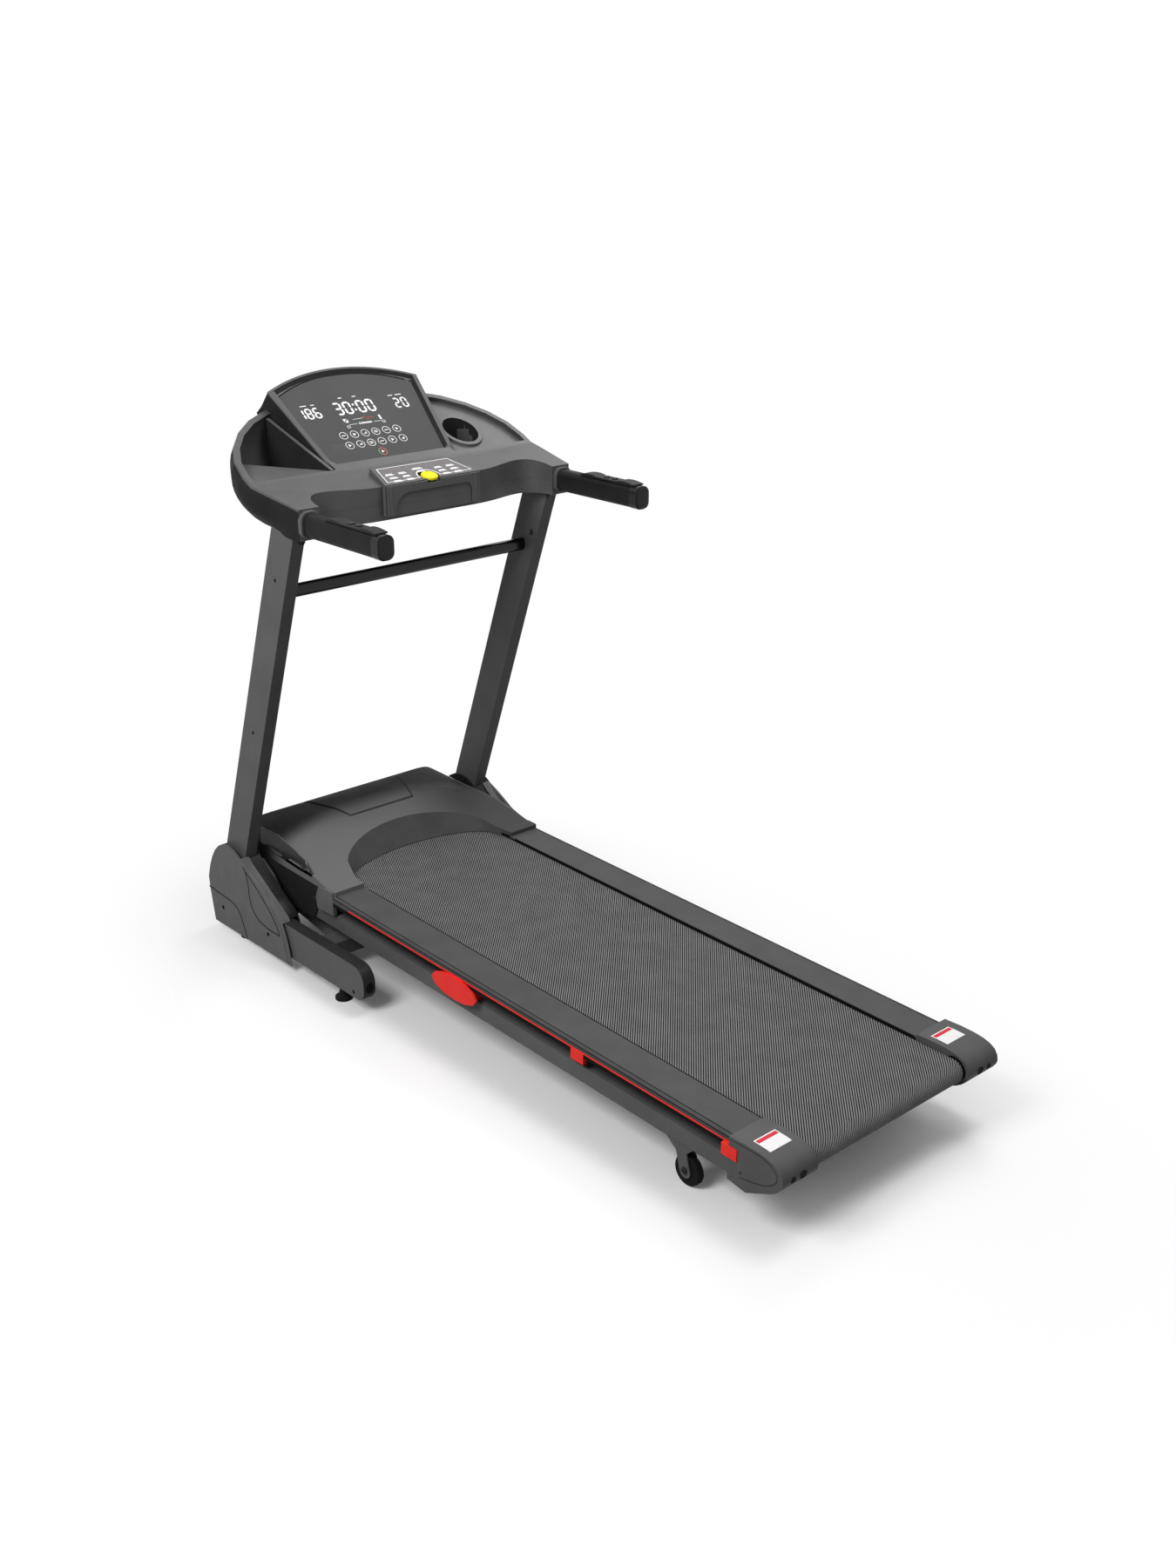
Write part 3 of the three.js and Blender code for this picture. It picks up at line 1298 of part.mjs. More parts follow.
// A plan outline laid on the sloping top of the keypad pod.
function onKeypad(shape, low, high, segments) {
  const slope = Math.atan(keypadSlope);
  const placed = new THREE.Matrix4().makeTranslation(0, podRear, podTopRear)
    .multiply(new THREE.Matrix4().makeRotationX(slope))
    .multiply(new THREE.Matrix4().makeTranslation(0, -podRear, 0));
  return toSolid(extrude(shape, high - low, segments).translate(0, 0, low).applyMatrix4(placed));
}

function keypadOutline(margin) {
  const front = podRear + keypadMargin + keypadLength;
  const taper = (podHalfRear - podHalfFront) / podDepth;
  const half = (y) => podHalfRear - keypadMargin - taper * (y - podRear);
  const rear = podRear + keypadMargin;
  return polygon([[-half(rear) + margin, rear + margin], [half(rear) - margin, rear + margin],
    [half(front) - margin, front - margin], [-half(front) + margin, front - margin]]);
}

function keypad() {
  const plate = onKeypad(keypadOutline(seatGap), seatGap, keypadThickness);
  const radius = keyRadius + keyNotch;
  const notch = new THREE.Shape();
  notch.absarc(0, keyY, radius, 0, 2 * Math.PI);
  const mouth = rectangle(-radius, radius, podRear - overshoot, keyY);
  const gaps = [notch, mouth].map((shape) => onKeypad(shape, -overshoot, 2 * overshoot, 24));
  return cut(plate, ...gaps);
}

function safetyKey() {
  const disc = new THREE.Shape();
  disc.absarc(0, keyY, keyRadius, 0, 2 * Math.PI);
  return onKeypad(disc, seatGap - keyThickness / 2, keyThickness / 2, 20);
}

// A raised ring on the sloping shelf, round the cup holder.
function cupCollar() {
  const shelf = (y) => rimHeight(y) - shelfDrop;
  const radius = cupRadius + cupRing;
  const outer = rodZ(radius, cupX, cupY, cupFloorZ, rimHeight(cupY + radius), 28);
  const [rear, front] = [cupY - 2 * radius, cupY + 2 * radius];
  const band = across(polygon([[rear, shelf(rear) - consoleWall], [front, shelf(front) - consoleWall],
    [front, shelf(front) + cupRingRise], [rear, shelf(rear) + cupRingRise]]), 0, consoleHalf);
  return cut(outer.intersect(band), rodZ(cupRadius, cupX, cupY, cupFloorZ, rimHeight(consoleBack), 28));
}

function consoleShells() {
  const keypadRecess = onKeypad(keypadOutline(0), 0, 2 * overshoot);
  const skin = cut(consoleBody(0), consoleBody(consoleWall), keypadRecess);
  const legs = Object.values(sides).map((side) => across(uprightOutline(-coverClearance, baseTop,
    uprightTop + coverClearance), side * (uprightOuter - uprightWidth - coverClearance),
  side * (uprightOuter + coverClearance)));
  const grips = Object.values(sides).map((side) => along(roundedRectangle(
    side * handleX - handleWidth / 2 - coverClearance, side * handleX + handleWidth / 2 + coverClearance,
    handleBottom - coverClearance, handleTop + coverClearance, handleCorner), handleRear, apronY, 4));
  const whole = join(cut(skin, ...legs, ...grips), cupCollar());
  const split = (y, shift) => splitZ + splitSlope * (y - collarRear) + shift;
  const [rear, front] = [podRear - splitReach, podRear + splitReach];
  const half = (shift, far) => across(polygon([[rear, split(rear, shift)], [front, split(front, shift)],
    [front, split(front, far)], [rear, split(rear, far)]]), -splitReach, splitReach);
  const above = half(seatGap / 2, splitReach);
  const below = half(-seatGap / 2, -splitReach);
  return { upper: whole.intersect(above), lower: whole.intersect(below) };
}

function displayPanel() {
  return onDisplay(displayOutline(displayFrame + seatGap, -displayFoot), -panelThickness, 0, 12);
}

function consoleBoard() {
  const top = -panelThickness - 2 * seatGap - consoleWall;
  const middle = displayEdge / 2;
  return onDisplay(rectangle(-boardHalf, boardHalf, middle - boardDepth / 2, middle + boardDepth / 2),
    top - boardPlate, top);
}

// ---------------------------------------------------------------- assembly
function buildDeck() {
  const deck = new THREE.Group();
  for (const [name, side] of Object.entries(sides)) {
    deck.add(part(`frame_tube_${name}`, frameTube(side), 'paint'));
    deck.add(part(`deck_cushion_${name}`, deckCushion(side), 'red'));
    deck.add(part(`side_rail_${name}`, sideRail(side), 'textured'));
    deck.add(part(`end_cap_${name}`, endCap(side), 'textured'));
    deck.add(part(`rear_wheel_${name}`, rearWheel(side), 'rubber'));
  }
  deck.add(part('frame_cross_rear', frameCross(crossRearY, frameTop - crossDrop), 'paint'));
  deck.add(part('frame_cross_mid', frameCrossMid(), 'paint'));
  deck.add(part('frame_cross_motor', frameCross(crossMotorY, frameTop), 'paint'));
  deck.add(part('running_board', runningBoard(), 'wood'));
  deck.add(part('running_belt', runningBelt(), 'belt'));
  deck.add(part('rear_roller', rearRoller(), 'steel'));
  deck.add(part('front_roller', frontRoller(), 'steel'));
  deck.add(part('drive_belt', driveBelt(), 'rubber'));
  deck.add(part('drive_motor', driveMotor(), 'steel'));
  deck.add(part('motor_rotor', motorRotor(), 'steel'));
  deck.add(part('motor_controller', motorController(), 'steel'));
  deck.add(part('motor_hood', motorHood(), 'textured'));
  deck.add(part('motor_pan', motorPan(), 'gloss'));
  deck.add(part('power_switch', powerSwitch(), 'gloss'));
  deck.add(part('power_inlet', powerInlet(), 'gloss'));
  deck.add(part('pivot_shaft', pivotShaft(), 'steel'));
  deck.add(part('strut_cylinder', strutCylinder(), 'gloss'));
  deck.add(part('strut_rod', strutRod(), 'steel'));
  deck.rotation.x = deckPitch;
  deck.position.z = deckRearHeight;
  return deck;
}

function buildBase() {
  const base = new THREE.Group();
  for (const [name, side] of Object.entries(sides)) {
    base.add(part(`base_tube_${name}`, baseTube(side), 'paint'));
    base.add(part(`levelling_foot_${name}`, levellingFoot(side), 'rubber'));
    base.add(part(`transport_wheel_${name}`, transportWheel(side), 'rubber'));
    base.add(part(`upright_${name}`, upright(side), 'paint'));
    base.add(part(`base_cover_outer_${name}`,
      baseCover(coverOutline(0), side * (coverSplit + seatGap / 2), side * coverOuter, side), 'textured'));
    base.add(part(`base_cover_inner_${name}`,
      baseCover(coverOutline(coverInnerShift), side * (coverSplit - seatGap / 2), side * coverInner, -side),
      'gloss'));
  }
  base.add(part('base_cross_rear', baseCrossRear(), 'paint'));
  base.add(part('base_cross_front', baseCrossFront(), 'paint'));
  base.add(part('cross_bar', crossBar(), 'gloss'));
  base.add(part('incline_frame', inclineFrame(), 'paint'));
  base.add(part('lift_motor', liftMotor(), 'steel'));
  base.add(part('lift_rod', liftRod(), 'steel'));
  return base;
}

function buildConsole() {
  const console = new THREE.Group();
  const { upper, lower } = consoleShells();
  console.add(part('console_upper', upper, 'textured'));
  console.add(part('console_lower', lower, 'textured'));
  console.add(part('display_panel', displayPanel(), 'gloss'));
  console.add(part('console_board', consoleBoard(), 'circuit'));
  console.add(part('keypad', keypad(), 'gloss'));
  console.add(part('safety_key', safetyKey(), 'yellow'));
  for (const [name, side] of Object.entries(sides)) {
    console.add(part(`handlebar_${name}`, handlebar(side), 'gloss'));
    console.add(part(`handle_switch_${name}`, handleSwitch(side), 'rubber'));
    const duty = name === 'left' ? 'incline' : 'speed';
    console.add(part(`${duty}_down_button`, handleButton(side, 0), 'gloss'));
    console.add(part(`${duty}_up_button`, handleButton(side, 1), 'gloss'));
  }
  return console;
}

const treadmill = new THREE.Group();
treadmill.add(buildDeck(), buildBase(), buildConsole());
treadmill.updateMatrixWorld(true);
const extent = new THREE.Box3().setFromObject(treadmill, true);
treadmill.position.set(-(extent.min.x + extent.max.x) / 2, -(extent.min.y + extent.max.y) / 2, -extent.min.z);

export default treadmill;
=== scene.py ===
"""Looks of a folding motorised treadmill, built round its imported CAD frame.

Every length in a dataclass is in millimetres and every place is in the frame's own axes: +X to the
runner's right, +Y towards the console, +Z up, with the origin at the bottom centre of the machine.
"""
import logging
import math
from collections.abc import Iterable, Sequence
from dataclasses import dataclass, field
from enum import Enum

import bmesh
import bpy
from bmesh.types import BMesh, BMVert
from mathutils import Matrix, Vector
from mathutils.bvhtree import BVHTree


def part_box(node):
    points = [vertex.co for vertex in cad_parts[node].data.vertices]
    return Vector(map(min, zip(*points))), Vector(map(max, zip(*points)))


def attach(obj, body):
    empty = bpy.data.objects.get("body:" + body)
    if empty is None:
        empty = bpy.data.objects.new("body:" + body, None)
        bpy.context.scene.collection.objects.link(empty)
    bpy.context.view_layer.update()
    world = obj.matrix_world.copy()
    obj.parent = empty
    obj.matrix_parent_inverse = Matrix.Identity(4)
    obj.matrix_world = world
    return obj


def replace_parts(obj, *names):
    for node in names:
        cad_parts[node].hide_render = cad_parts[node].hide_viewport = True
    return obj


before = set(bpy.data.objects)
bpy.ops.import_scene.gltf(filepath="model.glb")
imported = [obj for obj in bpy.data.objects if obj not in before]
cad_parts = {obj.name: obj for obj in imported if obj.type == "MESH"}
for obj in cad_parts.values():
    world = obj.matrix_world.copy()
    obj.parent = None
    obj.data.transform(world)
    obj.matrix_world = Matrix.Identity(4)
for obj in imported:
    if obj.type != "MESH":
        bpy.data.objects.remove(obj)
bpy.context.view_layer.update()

log = logging.getLogger("treadmill")

MM = 0.001
DECK_PITCH = math.radians(1.09)
CREASE = math.radians(32)
RAIL_LENGTH = 1255.0

Point = tuple[float, float]
Spot = tuple[float, float, float]
Socket = bpy.types.NodeSocket


class Side(Enum):
    """The runner's left and right; the value is the sign of X."""

    LEFT = -1
    RIGHT = 1

    @property
    def label(self) -> str:
        """The word that node and piece names end in."""
        return self.name.lower()


# ------------------------------------------------------------------ colour and node helpers
def linear(colour: str) -> tuple[float, float, float, float]:
    """Turns an sRGB hex colour into the linear RGBA that sockets take.

    Args:
        colour: six hex digits, with a leading hash.

    Returns:
        Linear red, green, blue and an alpha of one.
    """
    parts = [int(colour[i:i + 2], 16) / 255 for i in (1, 3, 5)]
    bright = [c / 12.92 if c <= 0.04045 else ((c + 0.055) / 1.055) ** 2.4 for c in parts]
    return (*bright, 1.0)


def add_node(tree: bpy.types.NodeTree, kind: str, inputs: dict | None = None,
             **settings: object) -> bpy.types.Node:
    """Adds a node with its settings, constants and links.

    Args:
        tree: node tree to add to.
        kind: Blender's name for the node.
        inputs: socket name or index to a constant, or to the output socket that feeds it.
        **settings: the node's own properties.

    Returns:
        The new node.
    """
    node = tree.nodes.new(kind)
    for key, value in settings.items():
        setattr(node, key, value)
    for key, value in (inputs or {}).items():
        if isinstance(value, Socket):
            tree.links.new(value, node.inputs[key])
        else:
            node.inputs[key].default_value = value
    return node


# ------------------------------------------------------------------ finishes
@dataclass(frozen=True)
class Finish:
    """A real material with a grained surface and a slight drift of its colour.

    Attributes:
        name: the real material and how it was made.
        colour: its usual colour.
        drift: the colour that patches of it drift to.
        drift_mm: size of those patches.
        grain_mm: size of its surface grain.
        relief_mm: height of the grain.
        roughness: lowest and highest roughness over the surface.
        metallic: one for bare metal.
        specular: specular level; half is a plain dielectric.
        coat: weight of a clear coat.
        stretch: how far the grain is drawn out along X, Y and Z.
    """

    name: str
    colour: str
    drift: str
    drift_mm: float = 60.0
    grain_mm: float = 1.2
    relief_mm: float = 0.05
    roughness: tuple[float, float] = (0.45, 0.55)
    metallic: float = 0.0
    specular: float = 0.5
    coat: float = 0.0
    stretch: tuple[float, float, float] = (1.0, 1.0, 1.0)

    def material(self) -> bpy.types.Material:
        """The finish as a Blender material, made once."""
        return bpy.data.materials.get(self.name) or self.make()

    def make(self) -> bpy.types.Material:
        """Builds the material.

        Returns:
            A new material with a Principled surface.
        """
        made = bpy.data.materials.new(self.name)
        made.use_nodes = True
        tree = made.node_tree
        tree.nodes.clear()
        place = add_node(tree, "ShaderNodeTexCoord").outputs["Object"]
        grain_place = add_node(tree, "ShaderNodeMapping", {
            "Vector": place, "Scale": tuple(1 / s for s in self.stretch)}).outputs[0]
        grain = add_node(tree, "ShaderNodeTexNoise", {
            "Vector": grain_place, "Scale": 1 / (self.grain_mm * MM), "Detail": 2.0,
            "Roughness": 0.6}).outputs[0]
        patches = add_node(tree, "ShaderNodeTexNoise", {
            "Vector": place, "Scale": 1 / (self.drift_mm * MM), "Detail": 3.0}).outputs[0]
        shader = add_node(tree, "ShaderNodeBsdfPrincipled", {
            "Metallic": self.metallic, "Coat Weight": self.coat,
            "Base Color": self.tint(tree, place, grain, patches),
            "Roughness": add_node(tree, "ShaderNodeMapRange", {
                "Value": grain, "From Min": 0.3, "From Max": 0.7, "To Min": self.roughness[0],
                "To Max": self.roughness[1]}).outputs[0],
            "Normal": self.relief(tree, place, grain)})
        if not self.metallic:
            shader.inputs["Specular IOR Level"].default_value = self.specular
        add_node(tree, "ShaderNodeOutputMaterial", {"Surface": shader.outputs[0]})
        made.diffuse_color = linear(self.colour)
        return made

    def tint(self, tree: bpy.types.NodeTree, place: Socket, grain: Socket,
             patches: Socket) -> Socket:
        """Colour over the surface.

        Args:
            tree: the material's tree.
            place: object coordinates.
            grain: the grain's noise.
            patches: the noise that the drift follows.

        Returns:
            The socket that carries the colour.
        """
        both = add_node(tree, "ShaderNodeMath", {0: grain, 1: patches}, operation="ADD").outputs[0]
        share = add_node(tree, "ShaderNodeMapRange", {
            "Value": both, "From Min": 0.75, "From Max": 1.25}).outputs[0]
        return add_node(tree, "ShaderNodeMix", {
            "Factor": share, 6: linear(self.colour), 7: linear(self.drift)},
            data_type="RGBA").outputs[2]

    def relief(self, tree: bpy.types.NodeTree, place: Socket, grain: Socket) -> Socket:
        """Normal of the grained surface.

        Args:
            tree: the material's tree.
            place: object coordinates.
            grain: the grain's noise.

        Returns:
            The socket that carries the normal.
        """
        return add_node(tree, "ShaderNodeBump", {
            "Height": grain, "Strength": 0.6, "Distance": self.relief_mm * MM}).outputs[0]


@dataclass(frozen=True)
class FilmFinish(Finish):
    """Printed polycarbonate film with a faint round patch of dots beside the touch rings.

    Attributes:
        dot_colour: colour of the printed dots.
        dot_pitch: spacing of the dots.
        patch: middle of the patch.
        patch_radius: how far the dots reach.
    """

    dot_colour: str = "#6c6c6e"
    dot_pitch: float = 4.0
    patch: tuple[float, float, float] = (-110.0, 636.0, 1179.0)
    patch_radius: float = 24.0

    def tint(self, tree: bpy.types.NodeTree, place: Socket, grain: Socket,
             patches: Socket) -> Socket:
        """Colour of the film; see Finish.tint."""
        plain = super().tint(tree, place, grain, patches)
        moved = add_node(tree, "ShaderNodeVectorMath", {
            0: place, 1: tuple(c * MM for c in self.patch)}, operation="SUBTRACT").outputs[0]
        away = add_node(tree, "ShaderNodeVectorMath", {0: moved}, operation="LENGTH").outputs["Value"]
        inside = add_node(tree, "ShaderNodeMapRange", {
            "Value": away, "From Min": self.patch_radius * MM, "From Max": self.patch_radius * MM * 0.6,
            "To Max": 0.7}).outputs[0]
        dots = add_node(tree, "ShaderNodeTexVoronoi", {
            "Vector": moved, "Scale": 1 / (self.dot_pitch * MM), "Randomness": 0.0}).outputs["Distance"]
        dot = add_node(tree, "ShaderNodeMath", {0: dots, 1: 0.3}, operation="LESS_THAN").outputs[0]
        share = add_node(tree, "ShaderNodeMath", {0: dot, 1: inside}, operation="MULTIPLY").outputs[0]
        return add_node(tree, "ShaderNodeMix", {
            "Factor": share, 6: plain, 7: linear(self.dot_colour)}, data_type="RGBA").outputs[2]


@dataclass(frozen=True)
class PaintedSheenFinish(Finish):
    """A moulded finish drawn a lighter grey, as a painted sheen, where the mesh's own attribute says so.

    Attributes:
        painted_sheen: colour of the painted sheen.
        attribute: name of the attribute, from 0 for no painted sheen to 1 for full painted sheen.
    """

    painted_sheen: str = "#6c6c6c"
    attribute: str = "painted_sheen"

    def tint(self, tree: bpy.types.NodeTree, place: Socket, grain: Socket,
             patches: Socket) -> Socket:
        """Colour of the moulding with its painted sheen; see Finish.tint."""
        plain = super().tint(tree, place, grain, patches)
        # painted sheen: mixes towards the lighter grey by the mesh's own attribute
        share = add_node(tree, "ShaderNodeAttribute", attribute_name=self.attribute).outputs["Fac"]
        return add_node(tree, "ShaderNodeMix", {
            "Factor": share, 6: plain, 7: linear(self.painted_sheen)}, data_type="RGBA").outputs[2]


# Moulded ABS with a spark-eroded texture: a dull charcoal with a fine pebbled sheen.
TEXTURED_ABS = Finish("textured_abs_moulded", "#5c5c5c", "#666666", 45, 1.6, 0.10, (0.40, 0.55),
                      specular=0.12)
# The console's ABS catches a broad sheen from above.
CONSOLE_ABS = Finish("console_abs_moulded", "#505050", "#595959", 55, 1.5, 0.09, (0.34, 0.44),
                     specular=0.2)
# Painted shade: the console's ABS drawn nearly black on its outer wall and on the walls of its recesses.
CONSOLE_PAINTED_SHADE = Finish("console_abs_painted_shade", "#242424", "#2b2b2b", 55, 1.5, 0.05, (0.58, 0.68),
                      specular=0.04)
# The motor hood's ABS is darker still, so its crown looks almost black; its lit shoulder is a painted sheen.
HOOD_ABS = PaintedSheenFinish("hood_abs_moulded", "#222222", "#2a2a2a", 60, 1.6, 0.09, (0.5, 0.58),
                         specular=0.03)
# Painted light: the hood's ABS drawn lighter on the scoop that frames the belt, on its faces that turn to
# the rear and up.
SCOOP_PAINTED_LIGHT = Finish("hood_abs_painted_light", "#484848", "#525252", 60, 1.6, 0.09, (0.6, 0.7), specular=0.05)
# Extruded ABS of the rails: a little darker and duller than the moulded texture.
RAIL_ABS = Finish("rail_abs_extruded", "#484848", "#515151", 70, 2.2, 0.10, (0.45, 0.6), specular=0.1)
# Moulded end caps of the rails, a shade lighter than the extrusion they close.
CAP_ABS = Finish("cap_abs_moulded", "#525252", "#5c5c5c", 70, 2.0, 0.09, (0.45, 0.6), specular=0.1)
# Thermoset powder coat on steel tube: even charcoal with a slight orange peel.
POWDER_COAT = Finish("powder_coat_on_steel", "#585858", "#626262", 90, 2.6, 0.06, (0.42, 0.55),
                     specular=0.1)
# Satin near-black coat of bolt and screw heads; the base tubes' top, nose and underside are drawn in it too,
# darker than their sides.
SATIN_COAT = Finish("satin_black_coat_on_steel", "#272727", "#2f2f2f", 70, 2.2, 0.05, (0.35, 0.5),
                    specular=0.1)
# Stoved gloss enamel on tube: near black with sharp highlights.
GLOSS_ENAMEL = Finish("gloss_enamel_on_steel", "#111111", "#191919", 80, 3.5, 0.02, (0.14, 0.22),
                      specular=0.3)
# Polished-mould ABS: dark, smooth and fairly shiny.
GLOSS_ABS = Finish("polished_abs_moulded", "#1c1c1c", "#242424", 60, 3.0, 0.02, (0.22, 0.32),
                   specular=0.18)
# The covers' inner bulges: the polished ABS drawn lighter as a painted highlight, and shiny enough to take a
# real one.
KNUCKLE_PAINTED_HIGHLIGHT = Finish("polished_abs_bulge_painted_highlight", "#3c3c3c", "#464646", 60, 3.0, 0.02, (0.25, 0.35),
                     specular=0.35)
# Thermoplastic elastomer, moulded through in red, slightly waxy.
RED_ELASTOMER = Finish("red_elastomer_moulded", "#fa2a24", "#ff3830", 25, 1.5, 0.06, (0.38, 0.5),
                       specular=0.15)
# Woven polyester belt with a PVC face; the face between its ribs is nearly black.
BELT_GROUND = Finish("pvc_belt_ground", "#121212", "#1a1a1a", 30, 1.4, 0.12, (0.7, 0.85), specular=0.1)
# Painted highlight: the belt's raised ribs drawn a mid grey, lighter than the face between them, where they
# catch the light.
BELT_RIB_PAINTED_HIGHLIGHT = Finish("pvc_belt_rib_painted_highlight", "#787878", "#888888", 40, 1.1, 0.10, (0.55, 0.7), specular=0.12)
# Vulcanised rubber tyres and feet: dull black with a dusty drift.
BLACK_RUBBER = Finish("vulcanised_rubber", "#101010", "#1a1a1a", 20, 1.8, 0.08, (0.7, 0.85),
                      specular=0.1)
# Soft-touch rubber over the handle switches.
SOFT_RUBBER = Finish("soft_touch_rubber", "#1b1b1b", "#232323", 18, 0.9, 0.05, (0.5, 0.62), specular=0.15)
# Silicone push buttons, a shade lighter than their surround.
BUTTON_SILICONE = Finish("silicone_button", "#2b2b2b", "#333333", 12, 0.8, 0.04, (0.42, 0.55),
                         specular=0.2)
# Polypropylene safety key, moulded in a clear yellow.
YELLOW_PLASTIC = Finish("yellow_polypropylene", "#f6e80c", "#fdf032", 15, 1.2, 0.03, (0.4, 0.5),
                        specular=0.1)
# Back-printed polycarbonate film over the display.
DISPLAY_FILM = FilmFinish("polycarbonate_display_film", "#434343", "#494949", 120, 2.0, 0.015,
                          (0.42, 0.5), specular=0.12)
# Polyester membrane of the keypad, printed in silver grey.
KEY_MEMBRANE = Finish("polyester_key_membrane", "#736e70", "#827e80", 10, 1.0, 0.03, (0.5, 0.6),
                      specular=0.08)
# White screen ink, laid thick enough to stand off the film.
WHITE_INK = Finish("white_screen_ink", "#f2f2f2", "#ffffff", 8, 0.5, 0.01, (0.5, 0.6), specular=0.2)
# Satin grip sleeve of the handlebars, moulded smooth.
GRIP_SLEEVE = Finish("satin_grip_sleeve", "#1b1b1b", "#232323", 40, 2.0, 0.02, (0.4, 0.5), specular=0.07)
# Red and green screen inks of the one coloured touch ring.
RED_INK = Finish("red_screen_ink", "#e8564e", "#f06a60", 8, 0.5, 0.01, (0.5, 0.6), specular=0.2)
GREEN_INK = Finish("green_screen_ink", "#5fae62", "#70bd70", 8, 0.5, 0.01, (0.5, 0.6), specular=0.2)
# Glass-fibre circuit board under green solder mask.
CIRCUIT_BOARD = Finish("green_solder_mask", "#1f5a30", "#2a6a3a", 14, 2.0, 0.05, (0.3, 0.45), coat=0.4)
# Zinc-plated turned steel with fine tool marks round it.
BRIGHT_STEEL = Finish("zinc_plated_steel", "#b4b6b8", "#c4c6c8", 40, 0.7, 0.02, (0.24, 0.38), 1.0,
                      stretch=(1.0, 6.0, 6.0))
# Grey enamel over the motor's rolled steel can.
MOTOR_ENAMEL = Finish("grey_motor_enamel", "#6d7072", "#7a7d7f", 50, 2.4, 0.06, (0.35, 0.5))
# Extruded aluminium heat sink, brushed along its fins.
EXTRUDED_ALUMINIUM = Finish("extruded_aluminium", "#aeb1b4", "#bfc2c4", 40, 0.6, 0.03, (0.3, 0.45), 1.0,
                            stretch=(1.0, 12.0, 1.0))
# Medium-density fibreboard under a black melamine film.
DECK_BOARD = Finish("melamine_faced_fibreboard", "#161515", "#211f1e", 30, 1.3, 0.05, (0.45, 0.6))
# Deep shadow of a bored hole or a narrow seam, lined with unlit dark plastic.
SEAM_BLACK = Finish("seam_shadow_plastic", "#070707", "#0b0b0b", 10, 1.0, 0.02, (0.8, 0.9), specular=0.1)
# Light vinyl of a blank two-tone sticker and its red band.
WHITE_VINYL = Finish("white_vinyl", "#eceaea", "#f6f4f4", 20, 1.0, 0.01, (0.45, 0.55), specular=0.1)
RED_VINYL = Finish("red_vinyl", "#cf2b3c", "#d83848", 20, 1.0, 0.01, (0.45, 0.55), specular=0.1)

SLOT_FINISHES: dict[str, Finish] = {
    "powder_coat": POWDER_COAT, "gloss_tube": GLOSS_ENAMEL, "textured_abs": TEXTURED_ABS,
    "gloss_abs": GLOSS_ABS, "red_elastomer": RED_ELASTOMER, "running_belt": BELT_GROUND,
    "black_rubber": BLACK_RUBBER, "soft_rubber": SOFT_RUBBER, "button_plastic": BUTTON_SILICONE,
    "yellow_key": YELLOW_PLASTIC, "display_film": DISPLAY_FILM, "keypad_membrane": KEY_MEMBRANE,
    "circuit_board": CIRCUIT_BOARD, "bright_steel": BRIGHT_STEEL, "motor_paint": MOTOR_ENAMEL,
    "heat_sink": EXTRUDED_ALUMINIUM, "deck_board": DECK_BOARD,
}


# ------------------------------------------------------------------ places and shapes
def at(x: float, y: float, z: float) -> Vector:
    """A point in metres from millimetres."""
    return Vector((x, y, z)) * MM


def sheet_place(corner: Vector, slope: float) -> Matrix:
    """Frame of a sheet whose x runs across the machine and whose y climbs at a slope.

    Args:
        corner: where its own origin lies, in metres.
        slope: angle of the climb above the horizon, in radians.

    Returns:
        The matrix from the sheet's own frame to the machine's.
    """
    return Matrix.Translation(corner) @ Matrix.Rotation(slope, 4, "X")


def side_place(x: float, side: Side) -> Matrix:
    """Frame of an outline drawn as (y, z) on a face looking out sideways at x.

    Args:
        x: distance of the face from the middle, in millimetres.
        side: the side it is on.

    Returns:
        A matrix whose own x is the machine's y, y is its z and z points outwards.
    """
    out = side.value
    turned = Matrix(((0, 0, out), (1, 0, 0), (0, 1, 0))).to_4x4()
    return Matrix.Translation(at(out * x, 0, 0)) @ turned


def add_slab(bm: BMesh, size: Sequence[float], place: Matrix, radius: float = 0.0,
             segments: int = 2) -> None:
    """Adds a box with rounded edges.

    Args:
        bm: mesh to add to.
        size: its three lengths in millimetres.
        place: its middle, in metres.
        radius: edge radius in millimetres.
        segments: facets in a rounded edge.
    """
    scale = Matrix.Diagonal((*[s * MM for s in size], 1.0))
    made = bmesh.ops.create_cube(bm, size=1.0, matrix=place @ scale)["verts"]
    if radius:
        edges = list({e for v in made for e in v.link_edges})
        bmesh.ops.bevel(bm, geom=edges, offset=radius * MM, affect="EDGES", segments=segments,
                        profile=0.5, material=-1, clamp_overlap=True)


def add_plate(bm: BMesh, outline: Sequence[Point], depth: float, place: Matrix,
              bevel: float = 0.0, material: int = 0) -> None:
    """Adds a flat plate with a chamfered upper edge.

    Args:
        bm: mesh to add to.
        outline: corners of its lower face, in millimetres in its own frame.
        depth: how thick it is, in millimetres.
        place: its own frame, in metres.
        bevel: width of the chamfer, in millimetres.
        material: index of its material.
    """
    part = bmesh.new()
    face = part.faces.new([part.verts.new(at(a, b, 0)) for a, b in outline])
    grown = bmesh.ops.extrude_face_region(part, geom=[face], use_keep_orig=True)["geom"]
    top = [g for g in grown if isinstance(g, BMVert)]
    bmesh.ops.translate(part, verts=top, vec=(0, 0, depth * MM))
    if bevel:
        upper = set(top)
        rim = [e for e in {e for v in top for e in v.link_edges} if set(e.verts) <= upper]
        bmesh.ops.bevel(part, geom=rim, offset=bevel * MM, affect="EDGES", segments=1, profile=0.5,
                        material=-1)
    join(bm, part, place, material)


